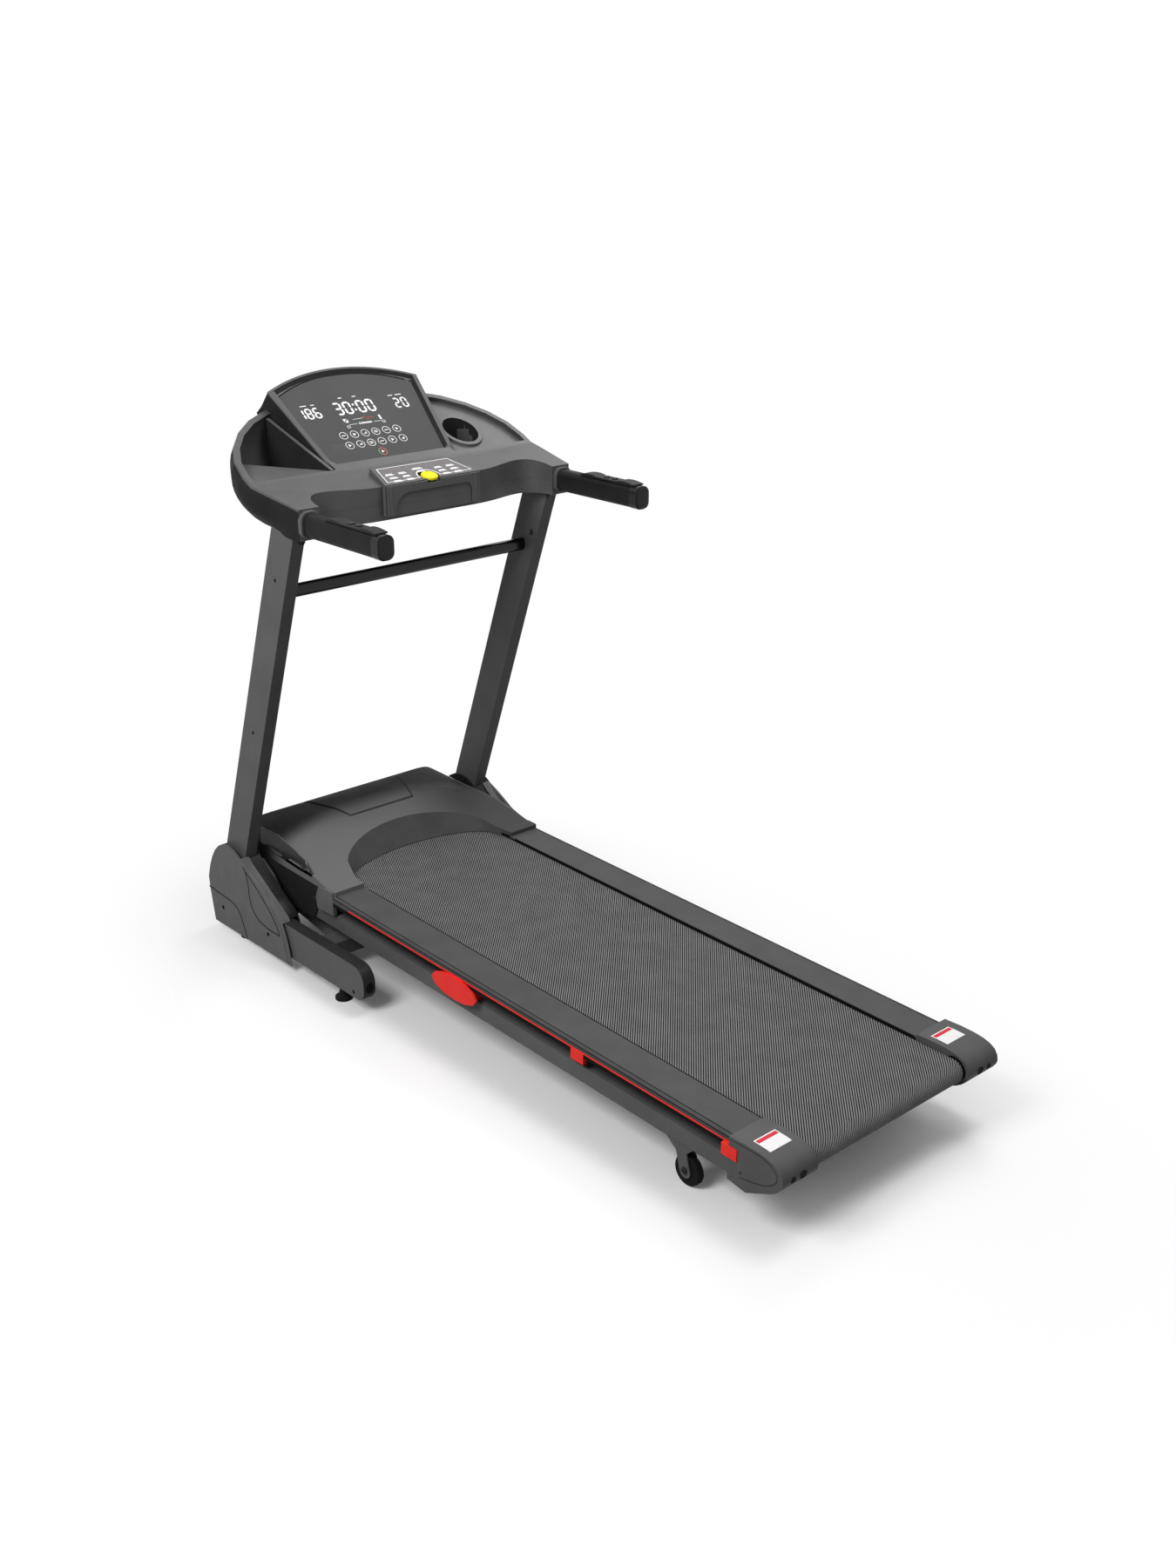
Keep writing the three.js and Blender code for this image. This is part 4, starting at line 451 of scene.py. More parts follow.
def join(bm: BMesh, part: BMesh, place: Matrix, material: int = 0) -> None:
    """Moves a finished part into a larger mesh and frees it.

    Args:
        bm: mesh to add to.
        part: the part, in its own frame.
        place: its own frame, in metres.
        material: index of its material.
    """
    bmesh.ops.transform(part, matrix=place, verts=part.verts)
    bmesh.ops.recalc_face_normals(part, faces=part.faces)
    for face in part.faces:
        face.material_index = material
    mesh = bpy.data.meshes.new("part")
    part.to_mesh(mesh)
    part.free()
    bm.from_mesh(mesh)
    bpy.data.meshes.remove(mesh)


def add_turned(bm: BMesh, profile: Sequence[Point], place: Matrix, steps: int = 28,
               closed: bool = False, material: int = 0) -> None:
    """Adds a turned shape.

    Args:
        bm: mesh to add to.
        profile: (radius, height) points in millimetres, from the axis out and back to it.
        place: its own frame in metres, turned about its z.
        steps: facets round it.
        closed: whether the profile is a loop clear of the axis.
        material: index of its material.
    """
    part = bmesh.new()
    line = [part.verts.new(at(r, 0, h)) for r, h in profile]
    edges = [part.edges.new(pair) for pair in zip(line, line[1:])]
    if closed:
        edges.append(part.edges.new((line[-1], line[0])))
    bmesh.ops.spin(part, geom=line + edges, cent=(0, 0, 0), axis=(0, 0, 1), angle=math.tau,
                   steps=steps, use_merge=True, use_duplicate=False)
    bmesh.ops.remove_doubles(part, verts=part.verts, dist=1e-6)
    join(bm, part, place, material)


def add_ring(bm: BMesh, radius: float, width: float, height: float, place: Matrix,
             steps: int = 36, material: int = 0) -> None:
    """Adds a flat ring.

    Args:
        bm: mesh to add to.
        radius: middle of its band, in millimetres.
        width: across the band.
        height: how far it stands up.
        place: its own frame, in metres.
        steps: facets round it.
        material: index of its material.
    """
    near, far = radius - width / 2, radius + width / 2
    add_turned(bm, [(near, 0), (far, 0), (far, height), (near, height)], place, steps, True, material)


def add_sweep(bm: BMesh, sections: Sequence[Sequence[Vector]]) -> None:
    """Adds a bar that passes through a row of like sections.

    Args:
        bm: mesh to add to.
        sections: for each station, the corners of its section in metres.
    """
    face = bm.faces.new([bm.verts.new(p) for p in sections[0]])
    base = [face]
    for before, after in zip(sections, sections[1:]):
        grown = bmesh.ops.extrude_face_region(bm, geom=base)["geom"]
        base = [g for g in grown if isinstance(g, bmesh.types.BMFace)]
        for v in (g for g in grown if isinstance(g, BMVert)):
            v.co = after[min(range(len(before)), key=lambda i: (before[i] - v.co).length_squared)]


def add_wire(bm: BMesh, points: Iterable[Vector], radius: float, cyclic: bool = False,
             smooth: bool = True) -> None:
    """Adds a round wire along a line.

    Args:
        bm: mesh to add to.
        points: the line, in metres.
        radius: of the wire, in millimetres.
        cyclic: whether it closes.
        smooth: whether it curves through its points.
    """
    curve = bpy.data.curves.new("wire", "CURVE")
    curve.dimensions = "3D"
    curve.bevel_depth = radius * MM
    curve.bevel_resolution = 1
    curve.resolution_u = 6
    curve.use_fill_caps = True
    spline = curve.splines.new("BEZIER")
    points = list(points)
    spline.bezier_points.add(len(points) - 1)
    for knot, point in zip(spline.bezier_points, points):
        knot.co = point
        knot.handle_left_type = knot.handle_right_type = "AUTO" if smooth else "VECTOR"
    spline.use_cyclic_u = cyclic
    carrier = bpy.data.objects.new("wire", curve)
    mesh = bpy.data.meshes.new_from_object(carrier)
    bm.from_mesh(mesh)
    bpy.data.objects.remove(carrier)
    bpy.data.curves.remove(curve)
    bpy.data.meshes.remove(mesh)


@dataclass
class Piece:
    """One named piece of the object, ready to be finished.

    Attributes:
        name: its name, which its mesh and object take.
        body: the CAD body it rides on.
        slot: the record's material slot named for it; the script doesn't read it.
        finishes: its materials, in the order of their indices.
        bm: its mesh while it is being built.
        smooth: greatest angle in degrees between faces that shade as one.
    """

    name: str
    body: str
    slot: str
    finishes: tuple[Finish, ...]
    bm: BMesh = field(default_factory=bmesh.new)
    smooth: float = 35.0

    def done(self) -> bpy.types.Object:
        """Turns the mesh into an object that rides on its body.

        Returns:
            The new object.
        """
        mesh = bpy.data.meshes.new(self.name)
        self.bm.to_mesh(mesh)
        self.bm.free()
        for stale in ("custom_normal", "sharp_face", "sharp_edge"):
            if stale in mesh.attributes:
                mesh.attributes.remove(mesh.attributes[stale])
        mesh.shade_smooth()
        mesh.set_sharp_from_angle(angle=math.radians(self.smooth))
        for finish in self.finishes:
            mesh.materials.append(finish.material())
        made = bpy.data.objects.new(self.name, mesh)
        bpy.context.scene.collection.objects.link(made)
        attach(made, self.body)
        log.info("%s: %d faces on %s", self.name, len(mesh.polygons), self.body)
        return made

    def closed(self) -> bpy.types.Object:
        """Turns the faces to agree with each other, then finishes the piece."""
        bmesh.ops.recalc_face_normals(self.bm, faces=self.bm.faces)
        return self.done()


class Surface:
    """The skin of a part, for laying pieces on it."""

    def __init__(self, *meshes: bpy.types.Mesh) -> None:
        """Reads the skins.

        Args:
            *meshes: meshes of CAD nodes or of pieces.
        """
        corners: list[Vector] = []
        faces: list[tuple[int, ...]] = []
        for mesh in meshes:
            start = len(corners)
            corners += [v.co.copy() for v in mesh.vertices]
            faces += [tuple(start + i for i in p.vertices) for p in mesh.polygons]
        self.tree = BVHTree.FromPolygons(corners, faces)

    def hit(self, start: Vector, heading: Vector) -> tuple[Vector, Vector] | None:
        """Where a line first meets the skin.

        Args:
            start: a point outside, in metres.
            heading: direction of the line.

        Returns:
            The point and the skin's normal, or None.
        """
        where, normal, _, _ = self.tree.ray_cast(start, heading)
        return None if where is None else (where, normal)

    def lay(self, points: Iterable[Vector], heading: Vector, sink: float = 0.0,
            step: float = 8.0) -> list[Vector]:
        """Drops a line of points onto the skin.

        Args:
            points: the line, in metres; only its place across the heading counts.
            heading: direction in which it is dropped.
            sink: how far below the skin it ends up, in millimetres.
            step: longest gap between points, in millimetres.

        Returns:
            The points on the skin.
        """
        found = []
        line = list(points)
        for a, b in zip(line, line[1:]):
            count = max(1, round((b - a).length / (step * MM)))
            found += [a.lerp(b, i / count) for i in range(count)]
        laid = []
        for p in [*found, line[-1]]:
            met = self.hit(p - heading.normalized() * 0.5, heading)
            if met:
                laid.append(met[0] - met[1] * sink * MM)
        return laid


# ------------------------------------------------------------------ scene around the object
@dataclass
class Studio:
    """Camera, lamps, floor and surroundings.

    Attributes:
        camera_place: where the camera stands, in metres.
        camera_turn: its pitch, roll and yaw in degrees.
        lens: focal length for a frame whose longer side is 36 mm.
        floor_half: half of the floor's side, in metres.
        ambient: strength of the surroundings' light.
        shadow_lift: how far the surroundings show through the deepest shadow.
        pool: half axes of the oval in which the floor keeps its shadow, in metres.
        pool_fade: where that floor begins to fade and is gone, as shares of the oval.
        bounce: colour that the floor throws back at the object.
        lamp_target: the point that the softboxes face, in metres.
        lamps: name, place in metres, side in metres and watts of each softbox.
    """

    camera_place: Spot = (-2.1983, -2.5138, 1.8685)
    camera_turn: Spot = (68.289, 0.0, -41.858)
    lens: float = 38.836
    floor_half: float = 3.0
    ambient: float = 0.22
    shadow_lift: float = 0.05
    pool: Point = (0.68, 1.22)
    pool_fade: Point = (0.6, 1.3)
    bounce: str = "#8a8a8a"
    lamp_target: Spot = (0.0, 0.1, 0.5)
    lamps: tuple[tuple[str, Spot, float, float], ...] = (
        ("lamp_overhead", (1.4, -1.1, 6.0), 2.2, 128.0),
        ("lamp_far", (3.2, 1.75, 4.3), 2.0, 60.0),
        ("lamp_left", (-2.8, -0.2, 3.0), 1.6, 92.0),
    )

    def build(self) -> None:
        """Sets up everything that isn't the object."""
        scene = bpy.context.scene
        scene.view_settings.view_transform = "Standard"
        self.camera(scene)
        for name, place, size, power in self.lamps:
            self.lamp(name, place, size, power)
        self.floor()
        self.surroundings(scene)

    def camera(self, scene: bpy.types.Scene) -> None:
        """Places the camera."""
        data = bpy.data.cameras.new("camera")
        data.sensor_fit, data.sensor_width, data.lens = "AUTO", 36.0, self.lens
        camera = bpy.data.objects.new("camera", data)
        camera.location = self.camera_place
        camera.rotation_euler = [math.radians(a) for a in self.camera_turn]
        scene.collection.objects.link(camera)
        scene.camera = camera

    def lamp(self, name: str, place: Spot, size: float, power: float) -> None:
        """Adds a square softbox that faces the object.

        Args:
            name: of the lamp.
            place: its middle, in metres.
            size: its side, in metres.
            power: in watts.
        """
        data = bpy.data.lights.new(name, "AREA")
        data.size, data.energy = size, power
        lamp = bpy.data.objects.new(name, data)
        lamp.location = place
        heading = Vector(self.lamp_target) - Vector(place)
        lamp.rotation_euler = heading.to_track_quat("-Z", "Y").to_euler()
        bpy.context.scene.collection.objects.link(lamp)

    def seen_share(self, tree: bpy.types.NodeTree) -> Socket:
        """One where the camera, a reflection or a refraction looks, and nothing elsewhere."""
        path = add_node(tree, "ShaderNodeLightPath").outputs
        gloss = add_node(tree, "ShaderNodeMath", {
            0: path["Is Camera Ray"], 1: path["Is Glossy Ray"]}, operation="MAXIMUM").outputs[0]
        return add_node(tree, "ShaderNodeMath", {
            0: gloss, 1: path["Is Transmission Ray"]}, operation="MAXIMUM").outputs[0]

    def floor(self) -> None:
        """Lays a white floor that keeps the shadow and fades into the surroundings."""
        bm = bmesh.new()
        bmesh.ops.create_grid(bm, x_segments=1, y_segments=1, size=self.floor_half)
        mesh = bpy.data.meshes.new("floor")
        bm.to_mesh(mesh)
        bm.free()
        made = bpy.data.materials.new("white_floor")
        made.use_nodes = True
        tree = made.node_tree
        tree.nodes.clear()
        bounce = add_node(tree, "ShaderNodeBsdfDiffuse", {"Color": linear(self.bounce)}).outputs[0]
        lit = add_node(tree, "ShaderNodeBsdfDiffuse", {"Color": linear("#ffffff")}).outputs[0]
        place = add_node(tree, "ShaderNodeTexCoord").outputs["Object"]
        oval = add_node(tree, "ShaderNodeVectorMath", {
            0: place, 1: (1 / self.pool[0], 1 / self.pool[1], 1.0)}, operation="MULTIPLY").outputs[0]
        away = add_node(tree, "ShaderNodeVectorMath", {0: oval}, operation="LENGTH").outputs["Value"]
        fade = add_node(tree, "ShaderNodeMapRange", {
            "Value": away, "From Min": self.pool_fade[0], "From Max": self.pool_fade[1]},
            interpolation_type="SMOOTHSTEP").outputs[0]
        clear = add_node(tree, "ShaderNodeBsdfTransparent").outputs[0]
        share = add_node(tree, "ShaderNodeMapRange", {
            "Value": fade, "To Min": self.shadow_lift}).outputs[0]
        near = add_node(tree, "ShaderNodeMixShader", {0: share, 1: lit, 2: clear}).outputs[0]
        both = add_node(tree, "ShaderNodeMixShader", {0: self.seen_share(tree), 1: bounce, 2: near})
        add_node(tree, "ShaderNodeOutputMaterial", {"Surface": both.outputs[0]})
        mesh.materials.append(made)
        floor = bpy.data.objects.new("floor", mesh)
        bpy.context.scene.collection.objects.link(floor)

    def surroundings(self, scene: bpy.types.Scene) -> None:
        """White surroundings that light the object only gently."""
        world = bpy.data.worlds.new("surroundings")
        world.use_nodes = True
        tree = world.node_tree
        tree.nodes.clear()
        strength = add_node(tree, "ShaderNodeMapRange", {
            "Value": self.seen_share(tree), "To Min": self.ambient, "To Max": 1.0}).outputs[0]
        glow = add_node(tree, "ShaderNodeBackground", {
            "Color": linear("#ffffff"), "Strength": strength})
        add_node(tree, "ShaderNodeOutputWorld", {"Surface": glow.outputs[0]})
        scene.world = world


# ------------------------------------------------------------------ the CAD nodes themselves
@dataclass
class FrameDressing:
    """Rounds the edges of the CAD nodes and gives each its finish.

    Attributes:
        weld: distance under which loose corners meet, in millimetres.
        flat: angle below which facets count as one face, in degrees.
        edge: usual edge radius in millimetres.
        edges: edge radius of nodes whose names start so.
        finishes: finish of each node that doesn't take its slot's.
    """

    weld: float = 0.01
    flat: float = 0.4
    edge: float = 0.8
    edges: dict[str, float] = field(default_factory=lambda: {
        "upright": 1.6, "base_tube": 2.0, "frame_tube": 1.2, "side_rail": 0.8, "end_cap": 1.4,
        "base_cover": 2.0, "motor_hood": 1.0, "motor_pan": 1.0, "console": 1.2, "display_panel": 0.4,
        "keypad": 0.4, "cross_bar": 0.0, "running_belt": 0.0, "deck_cushion": 1.2,
        "handlebar": 0.6, "safety_key": 1.4, "rear_wheel": 0.8, "transport_wheel": 0.8})
    finishes: dict[str, Finish] = field(default_factory=lambda: {
        "side_rail_left": RAIL_ABS, "side_rail_right": RAIL_ABS, "motor_hood": HOOD_ABS,
        "motor_pan": HOOD_ABS, "end_cap_left": CAP_ABS, "end_cap_right": CAP_ABS,
        "handlebar_left": GRIP_SLEEVE, "handlebar_right": GRIP_SLEEVE})

    def build(self) -> None:
        """Dresses every node."""
        group = self.smoothing()
        for name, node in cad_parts.items():
            slot = node.material_slots[0]
            finish = self.finishes.get(name) or SLOT_FINISHES[slot.material.name.split(".")[0]]
            slot.material = finish.material()
            node.modifiers.new("weld", "NODES").node_group = group
            self.round_edges(name, node)
        log.info("dressed %d nodes", len(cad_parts))

    def round_edges(self, name: str, node: bpy.types.Object) -> None:
        """Adds the modifiers that round a node's sharp edges."""
        radius = next((r for start, r in self.edges.items() if name.startswith(start)), self.edge)
        if not radius:
            return
        joined = node.modifiers.new("flats", "DECIMATE")
        joined.decimate_type, joined.angle_limit = "DISSOLVE", math.radians(self.flat)
        rounded(node, radius)

    def smoothing(self) -> bpy.types.NodeTree:
        """Node group that welds loose triangles and smooths all but the sharp edges.

        Returns:
            The group.
        """
        group = bpy.data.node_groups.new("weld_and_smooth", "GeometryNodeTree")
        for way in ("INPUT", "OUTPUT"):
            group.interface.new_socket("Geometry", in_out=way, socket_type="NodeSocketGeometry")
        source = add_node(group, "NodeGroupInput").outputs[0]
        welded = add_node(group, "GeometryNodeMergeByDistance", {
            "Geometry": source, "Distance": self.weld * MM}).outputs[0]
        bare = add_node(group, "GeometryNodeRemoveAttribute", {
            "Geometry": welded, "Name": "custom_normal"}).outputs[0]
        smooth = add_node(group, "GeometryNodeSetShadeSmooth", {
            "Geometry": bare, "Shade Smooth": True}, domain="FACE").outputs[0]
        angle = add_node(group, "GeometryNodeInputMeshEdgeAngle").outputs["Unsigned Angle"]
        sharp = add_node(group, "FunctionNodeCompare", {0: angle, 1: CREASE},
                         data_type="FLOAT", operation="GREATER_THAN").outputs[0]
        creased = add_node(group, "GeometryNodeSetShadeSmooth", {
            "Geometry": smooth, "Selection": sharp, "Shade Smooth": False}, domain="EDGE").outputs[0]
        add_node(group, "NodeGroupOutput", {"Geometry": creased})
        return group


# ------------------------------------------------------------------ reshaped skins
def smoothstep(low: float, high: float, value: float) -> float:
    """Rises smoothly from nothing at low to one at high."""
    share = min(1.0, max(0.0, (value - low) / (high - low)))
    return share * share * (3 - 2 * share)


def copied(piece: Piece, *nodes: str) -> None:
    """Copies the skins of CAD nodes into a piece, with their loose corners welded.

    Args:
        piece: the piece to add to.
        *nodes: names of CAD nodes.
    """
    for name in nodes:
        piece.bm.from_mesh(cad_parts[name].data)
    bmesh.ops.remove_doubles(piece.bm, verts=piece.bm.verts, dist=0.01 * MM)
    for face in piece.bm.faces:
        face.material_index = 0


def rounded(made: bpy.types.Object, radius: float, segments: int = 2) -> None:
    """Rounds the sharp edges of a piece or a node.

    Args:
        made: its object.
        radius: edge radius in millimetres.
        segments: facets in a rounded edge.
    """
    bevel = made.modifiers.new("edges", "BEVEL")
    bevel.affect, bevel.limit_method, bevel.angle_limit = "EDGES", "ANGLE", CREASE
    bevel.width, bevel.segments, bevel.profile = radius * MM, segments, 0.5
    bevel.material, bevel.harden_normals = -1, True


@dataclass
class ConsoleShell:
    """The console's moulding with its barrelled outer wall and sloping display frame.

    Attributes:
        rim_y: where the shoulders meet the rims of the trays.
        rim_z: height of the rims there.
        rim_slope: climb of the rims towards the back.
        shoulder_slope: climb of the shoulders.
        half: greatest half width.
        back: how far the outline reaches behind the rim line.
        bottom: lowest level of the outer wall.
        bulge: how far the wall swells out below its rim.
        tuck: how far it draws in at the bottom.
        rim_band: height of the band that the rims keep above the painted shade of the wall.
        levels: number of bands that the wall is cut into, so that it bends smoothly.
        frame_width: width of the CAD frame round the display.
        frame_proud: how far that frame stands off the film.
        frame_low: where its inner edge is drawn instead.
        frame_drop: how far it reaches below the film's foot.
        frame_arc: radius of its arched top.
        frame_centre: how far the arch's middle lies below the film's foot.
        frame_borders: width of the drawn frame at the left and the right.
        frame_top: its width at the top.
        frame_foot: level of the opening's foot.
        frame_lips: width of the flat lip at the left, the right and the top.
        foot_level: where the lip ends above the film's foot.
        film_depth: thickness of the film sheet.
        cup: the cup's middle as x and y, and its radius.
    """

    rim_y: float = 566.2
    rim_z: float = 1141.0
    rim_slope: float = 0.52
    shoulder_slope: float = 0.192
    half: float = 377.0
    back: float = 262.0
    bottom: float = 1047.0
    bulge: float = 13.0
    tuck: float = 44.0
    rim_band: float = 4.0
    levels: int = 14
    frame_width: float = 18.0
    frame_proud: float = 5.0
    frame_low: float = 0.5
    frame_drop: float = 6.0
    frame_arc: float = 449.0
    frame_centre: float = 158.0
    frame_borders: Point = (9.0, 20.0)
    frame_top: float = 17.0
    frame_foot: float = -4.5
    frame_lips: tuple[float, float, float] = (5.0, 11.0, 5.5)
    foot_level: float = 2.0
    film_depth: float = 1.2
    cup: tuple[float, float, float] = (231.0, 644.2, 45.0)

    def rim(self, y: float) -> float:
        """Height of the outer wall's top at y."""
        slope = self.rim_slope if y > self.rim_y else self.shoulder_slope
        return self.rim_z + slope * (y - self.rim_y)

    def bend(self, vert: BMVert) -> None:
        """Moves a corner of the outer wall out or in."""
        x, y, z = (c / MM for c in vert.co)
        ahead = max(0.0, y - self.rim_y)
        reach = math.hypot(x / self.half, ahead / self.back)
        weight = smoothstep(0.72, 0.93, reach) * smoothstep(432, 590, y)
        if not weight:
            return
        top = self.rim(y)
        depth = min(1.0, max(0.0, (top - z) / (top - self.bottom)))
        swell = self.bulge * math.sin(math.pi * depth ** 0.7) - self.tuck * depth ** 3
        out = Vector((x / self.half ** 2, ahead / self.back ** 2, 0)).normalized()
        vert.co += out * swell * weight * MM

    def opening(self, x: float, s: float) -> Point:
        """Where a point of the CAD frame's inner edge is drawn, in the display's own frame."""
        near, far = self.frame_borders
        share = x / (self.frame_half(s) - self.frame_width)
        arc, foot = self.frame_arc - self.frame_width, self.frame_width - self.frame_drop
        rise = (s - foot) / (math.sqrt(arc ** 2 - x ** 2) - self.frame_centre - foot)
        border = near if share < 0 else far
        for _ in range(3):
            x = share * (self.frame_half(s) - border)
            top = math.sqrt((self.frame_arc - self.frame_top) ** 2 - x ** 2) - self.frame_centre
            s = self.frame_foot + rise * (top - self.frame_foot)
        return x, s

    def frame_half(self, s: float) -> float:
        """Half width of the display frame at a height up its slope."""
        return 166 + 36 / 243 * s

    def tilt_frame(self, bm: BMesh, place: Matrix) -> list[Point]:
        """Widens the opening of the display frame and slopes its border down to the film.

        Args:
            bm: the shell's mesh.
            place: frame of the film.

        Returns:
            The opening's outline in the film's frame.
        """
        inward = place.inverted()
        found = []
        for vert in bm.verts:
            x, s, d = (c / MM for c in inward @ vert.co)
            margin = min(self.frame_half(s) - abs(x), s + self.frame_drop,
                         self.frame_arc - math.hypot(x, s + self.frame_centre))
            if margin > self.frame_width - 2 and abs(d - self.frame_proud) < 0.3:
                x, s = self.opening(x, s)
                vert.co = place @ at(x, s, self.frame_low)
                found.append((x, s))
        return sorted(found, key=lambda p: math.atan2(p[1] - 120, p[0]))

    def shade(self, bm: BMesh, place: Matrix) -> None:
        """Gives painted shade to the outer wall, the display frame's sloping border, the left tray's wall by
        the display and the inside of the cup.
        """
        inward = place.inverted()
        for face in bm.faces:
            x, y, z = (c / MM for c in face.calc_center_median())
            normal = face.normal
            ahead = max(0.0, y - self.rim_y)
            reach = math.hypot(x / self.half, ahead / self.back)
            out = Vector((x / self.half ** 2, ahead / self.back ** 2, 0)).normalized()
            # painted shade on the outer wall, where it faces out and down below the rim band
            if reach > 0.75 and y > 400 and normal.dot(out) > 0.45 and z < self.rim(y) - self.rim_band:
                face.material_index = 1
            u, s, d = (c / MM for c in inward @ face.calc_center_median())
            border = self.frame_half(s) - u
            top = self.frame_arc - math.hypot(u, s + self.frame_centre)
            across = (inward.to_3x3() @ normal).z
            on_frame = self.frame_low - 0.1 < d < self.frame_proud + 0.1 and across > 0.5
            # painted shade on the display frame's border, which slopes down into the opening
            if on_frame and s > 0 and (0.5 < border < 19 or 0.5 < top < 16):
                face.material_index = 1
            # painted shade on the left tray's wall beside the display
            if normal.x < -0.6 and -240 < x < -150 and y > 570:
                face.material_index = 1
            # painted shade inside the cup
            spoke = Vector((self.cup[0] - x, self.cup[1] - y, 0))
            if spoke.length < self.cup[2] - 5 or (
                    spoke.length < self.cup[2] and normal.dot(spoke.normalized()) > 0.6):
                face.material_index = 1

    def film(self, outline: list[Point], place: Matrix) -> None:
        """Lays the printed film over the opening and frames it."""
        film = Piece("display_film_sheet", "base", "display_film", (DISPLAY_FILM,))
        add_plate(film.bm, outline, self.film_depth, place @ Matrix.Translation(at(0, 0, -0.4)), 0.2)
        film.done()
        self.frame_lip(place)

    def frame_edge(self, share: float, margin: Point) -> Point:
        """A point of a line drawn inside the display frame's arched top edge.

        Args:
            share: place along the line, from -1 at its left end to 1 at its right.
            margin: distance from the side edge and from the top edge.

        Returns:
            The point in the film's frame.
        """
        rise = 240.0
        for _ in range(4):
            x = share * (self.frame_half(rise) - margin[0])
            corner = self.frame_half(rise) - margin[0]
            rise = math.sqrt((self.frame_arc - margin[1]) ** 2 - corner ** 2) - self.frame_centre
        return x, math.sqrt((self.frame_arc - margin[1]) ** 2 - x ** 2) - self.frame_centre

    def border(self, share: float, margins: tuple[float, float, float], foot: bool) -> Point:
        """A point of a line drawn inside the frame's sides and top.

        Args:
            share: place along the top, from -1 to 1.
            margins: distance from the left, right and top edges.
            foot: whether the point lies at the foot of a side instead.

        Returns:
            The point in the film's frame.
        """
        side = margins[0] if share < 0 else margins[1]
        if foot:
            return share * (self.frame_half(self.foot_level) - side), self.foot_level
        return self.frame_edge(share, (side, margins[2]))

    def frame_lip(self, place: Matrix) -> None:
        """Raises the flat lip round the display's sides and top, and slopes a band of painted shade inside
        it.
        """
        top = self.frame_proud + 0.7
        opening = (*self.frame_borders, self.frame_top)
        lip = Piece("display_frame_lip", "base", "textured_abs", (TEXTURED_ABS,))
        shade_band = Piece("display_frame_painted_shade", "base", "textured_abs", (CONSOLE_PAINTED_SHADE,))
        for piece, outer, inner, drop, low in (
                (lip, (-0.4, -0.4, -0.4), self.frame_lips, 0.0, 1.5),
                (shade_band, tuple(m - 0.6 for m in self.frame_lips), tuple(m + 1.0 for m in opening), 4.2, -0.6)):
            sections = []
            for i in range(-11, 12):
                share = max(-1.0, min(1.0, i / 10))
                (x0, s0), (x1, s1) = (self.border(share, m, abs(i) == 11) for m in (outer, inner))
                sections.append([place @ at(x0, s0, low), place @ at(x0, s0, top - 0.1 * drop),
                                 place @ at(x1, s1, top - drop), place @ at(x1, s1, low)])
            add_sweep(piece.bm, sections)
            rounded(piece.closed(), 0.5)

    def lip(self) -> None:
        """Builds the lip between the left tray and the display's side wall, with painted shade on its sides.
        """
        piece = Piece("left_tray_lip", "base", "textured_abs", (CONSOLE_ABS, CONSOLE_PAINTED_SHADE))
        spots = ((-174.0, 573.0, 1146.0), (-214.0, 760.0, 1239.0))
        add_sweep(piece.bm, [[at(x - 5, y, 1098), at(x + 5, y, 1098), at(x + 5, y, z), at(x - 5, y, z)]
                             for x, y, z in spots])
        bmesh.ops.recalc_face_normals(piece.bm, faces=piece.bm.faces)
        for face in piece.bm.faces:
            # painted shade on the sides, which face into the tray and towards the display's wall
            face.material_index = int(abs(face.normal.x) > 0.7)
        rounded(piece.done(), 2.0)

    def build(self, display: "Display") -> None:
        """Builds the shell, its film and frame, and the ledge and lip of its left tray.

        Args:
            display: the display that the frame surrounds.
        """
        piece = Piece("console_shell", "base", "textured_abs", (CONSOLE_ABS, CONSOLE_PAINTED_SHADE), smooth=32)
        copied(piece, "console_upper", "console_lower")
        self.film(self.tilt_frame(piece.bm, display.place), display.place)
        for level in range(1, self.levels):
            z = self.bottom + (1240 - self.bottom) * level / self.levels
            bmesh.ops.bisect_plane(piece.bm, geom=[*piece.bm.verts, *piece.bm.edges, *piece.bm.faces],
                                   dist=1e-6, plane_co=(0, 0, z * MM), plane_no=(0, 0, 1))
        for slope in (self.rim_slope, self.shoulder_slope):
            bmesh.ops.bisect_plane(piece.bm, geom=[*piece.bm.verts, *piece.bm.edges, *piece.bm.faces],
                                   dist=1e-6, plane_co=at(0, self.rim_y, self.rim_z - self.rim_band),
                                   plane_no=(0, -slope, 1))
        for vert in piece.bm.verts:
            self.bend(vert)
        piece.bm.normal_update()
        self.shade(piece.bm, display.place)
        made = piece.done()
        rounded(made, 2.0)
        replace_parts(made, "console_upper", "console_lower")
        self.ledge()
        self.lip()

    def ledge(self) -> None:
        """Builds the ledge that carries the left shoulder into the tray."""
        ledge = Piece("left_tray_ledge", "base", "textured_abs", (CONSOLE_ABS,))
        plan = [(-165, 570), (-167, 576), (-339, 689), (-356, 654), (-366, 622), (-369, 594), (-370, 570)]
        bm = ledge.bm
        top = [bm.verts.new(at(x, y, self.rim_z + self.shoulder_slope * (y - self.rim_y) + 0.2))
               for x, y in plan]
        face = bm.faces.new(top)
        grown = bmesh.ops.extrude_face_region(bm, geom=[face], use_keep_orig=True)["geom"]
        lower = [g for g in grown if isinstance(g, BMVert)]
        bmesh.ops.translate(bm, verts=lower, vec=(0, 0, -38 * MM))
        bmesh.ops.recalc_face_normals(bm, faces=bm.faces)
        rounded(ledge.done(), 3.0)


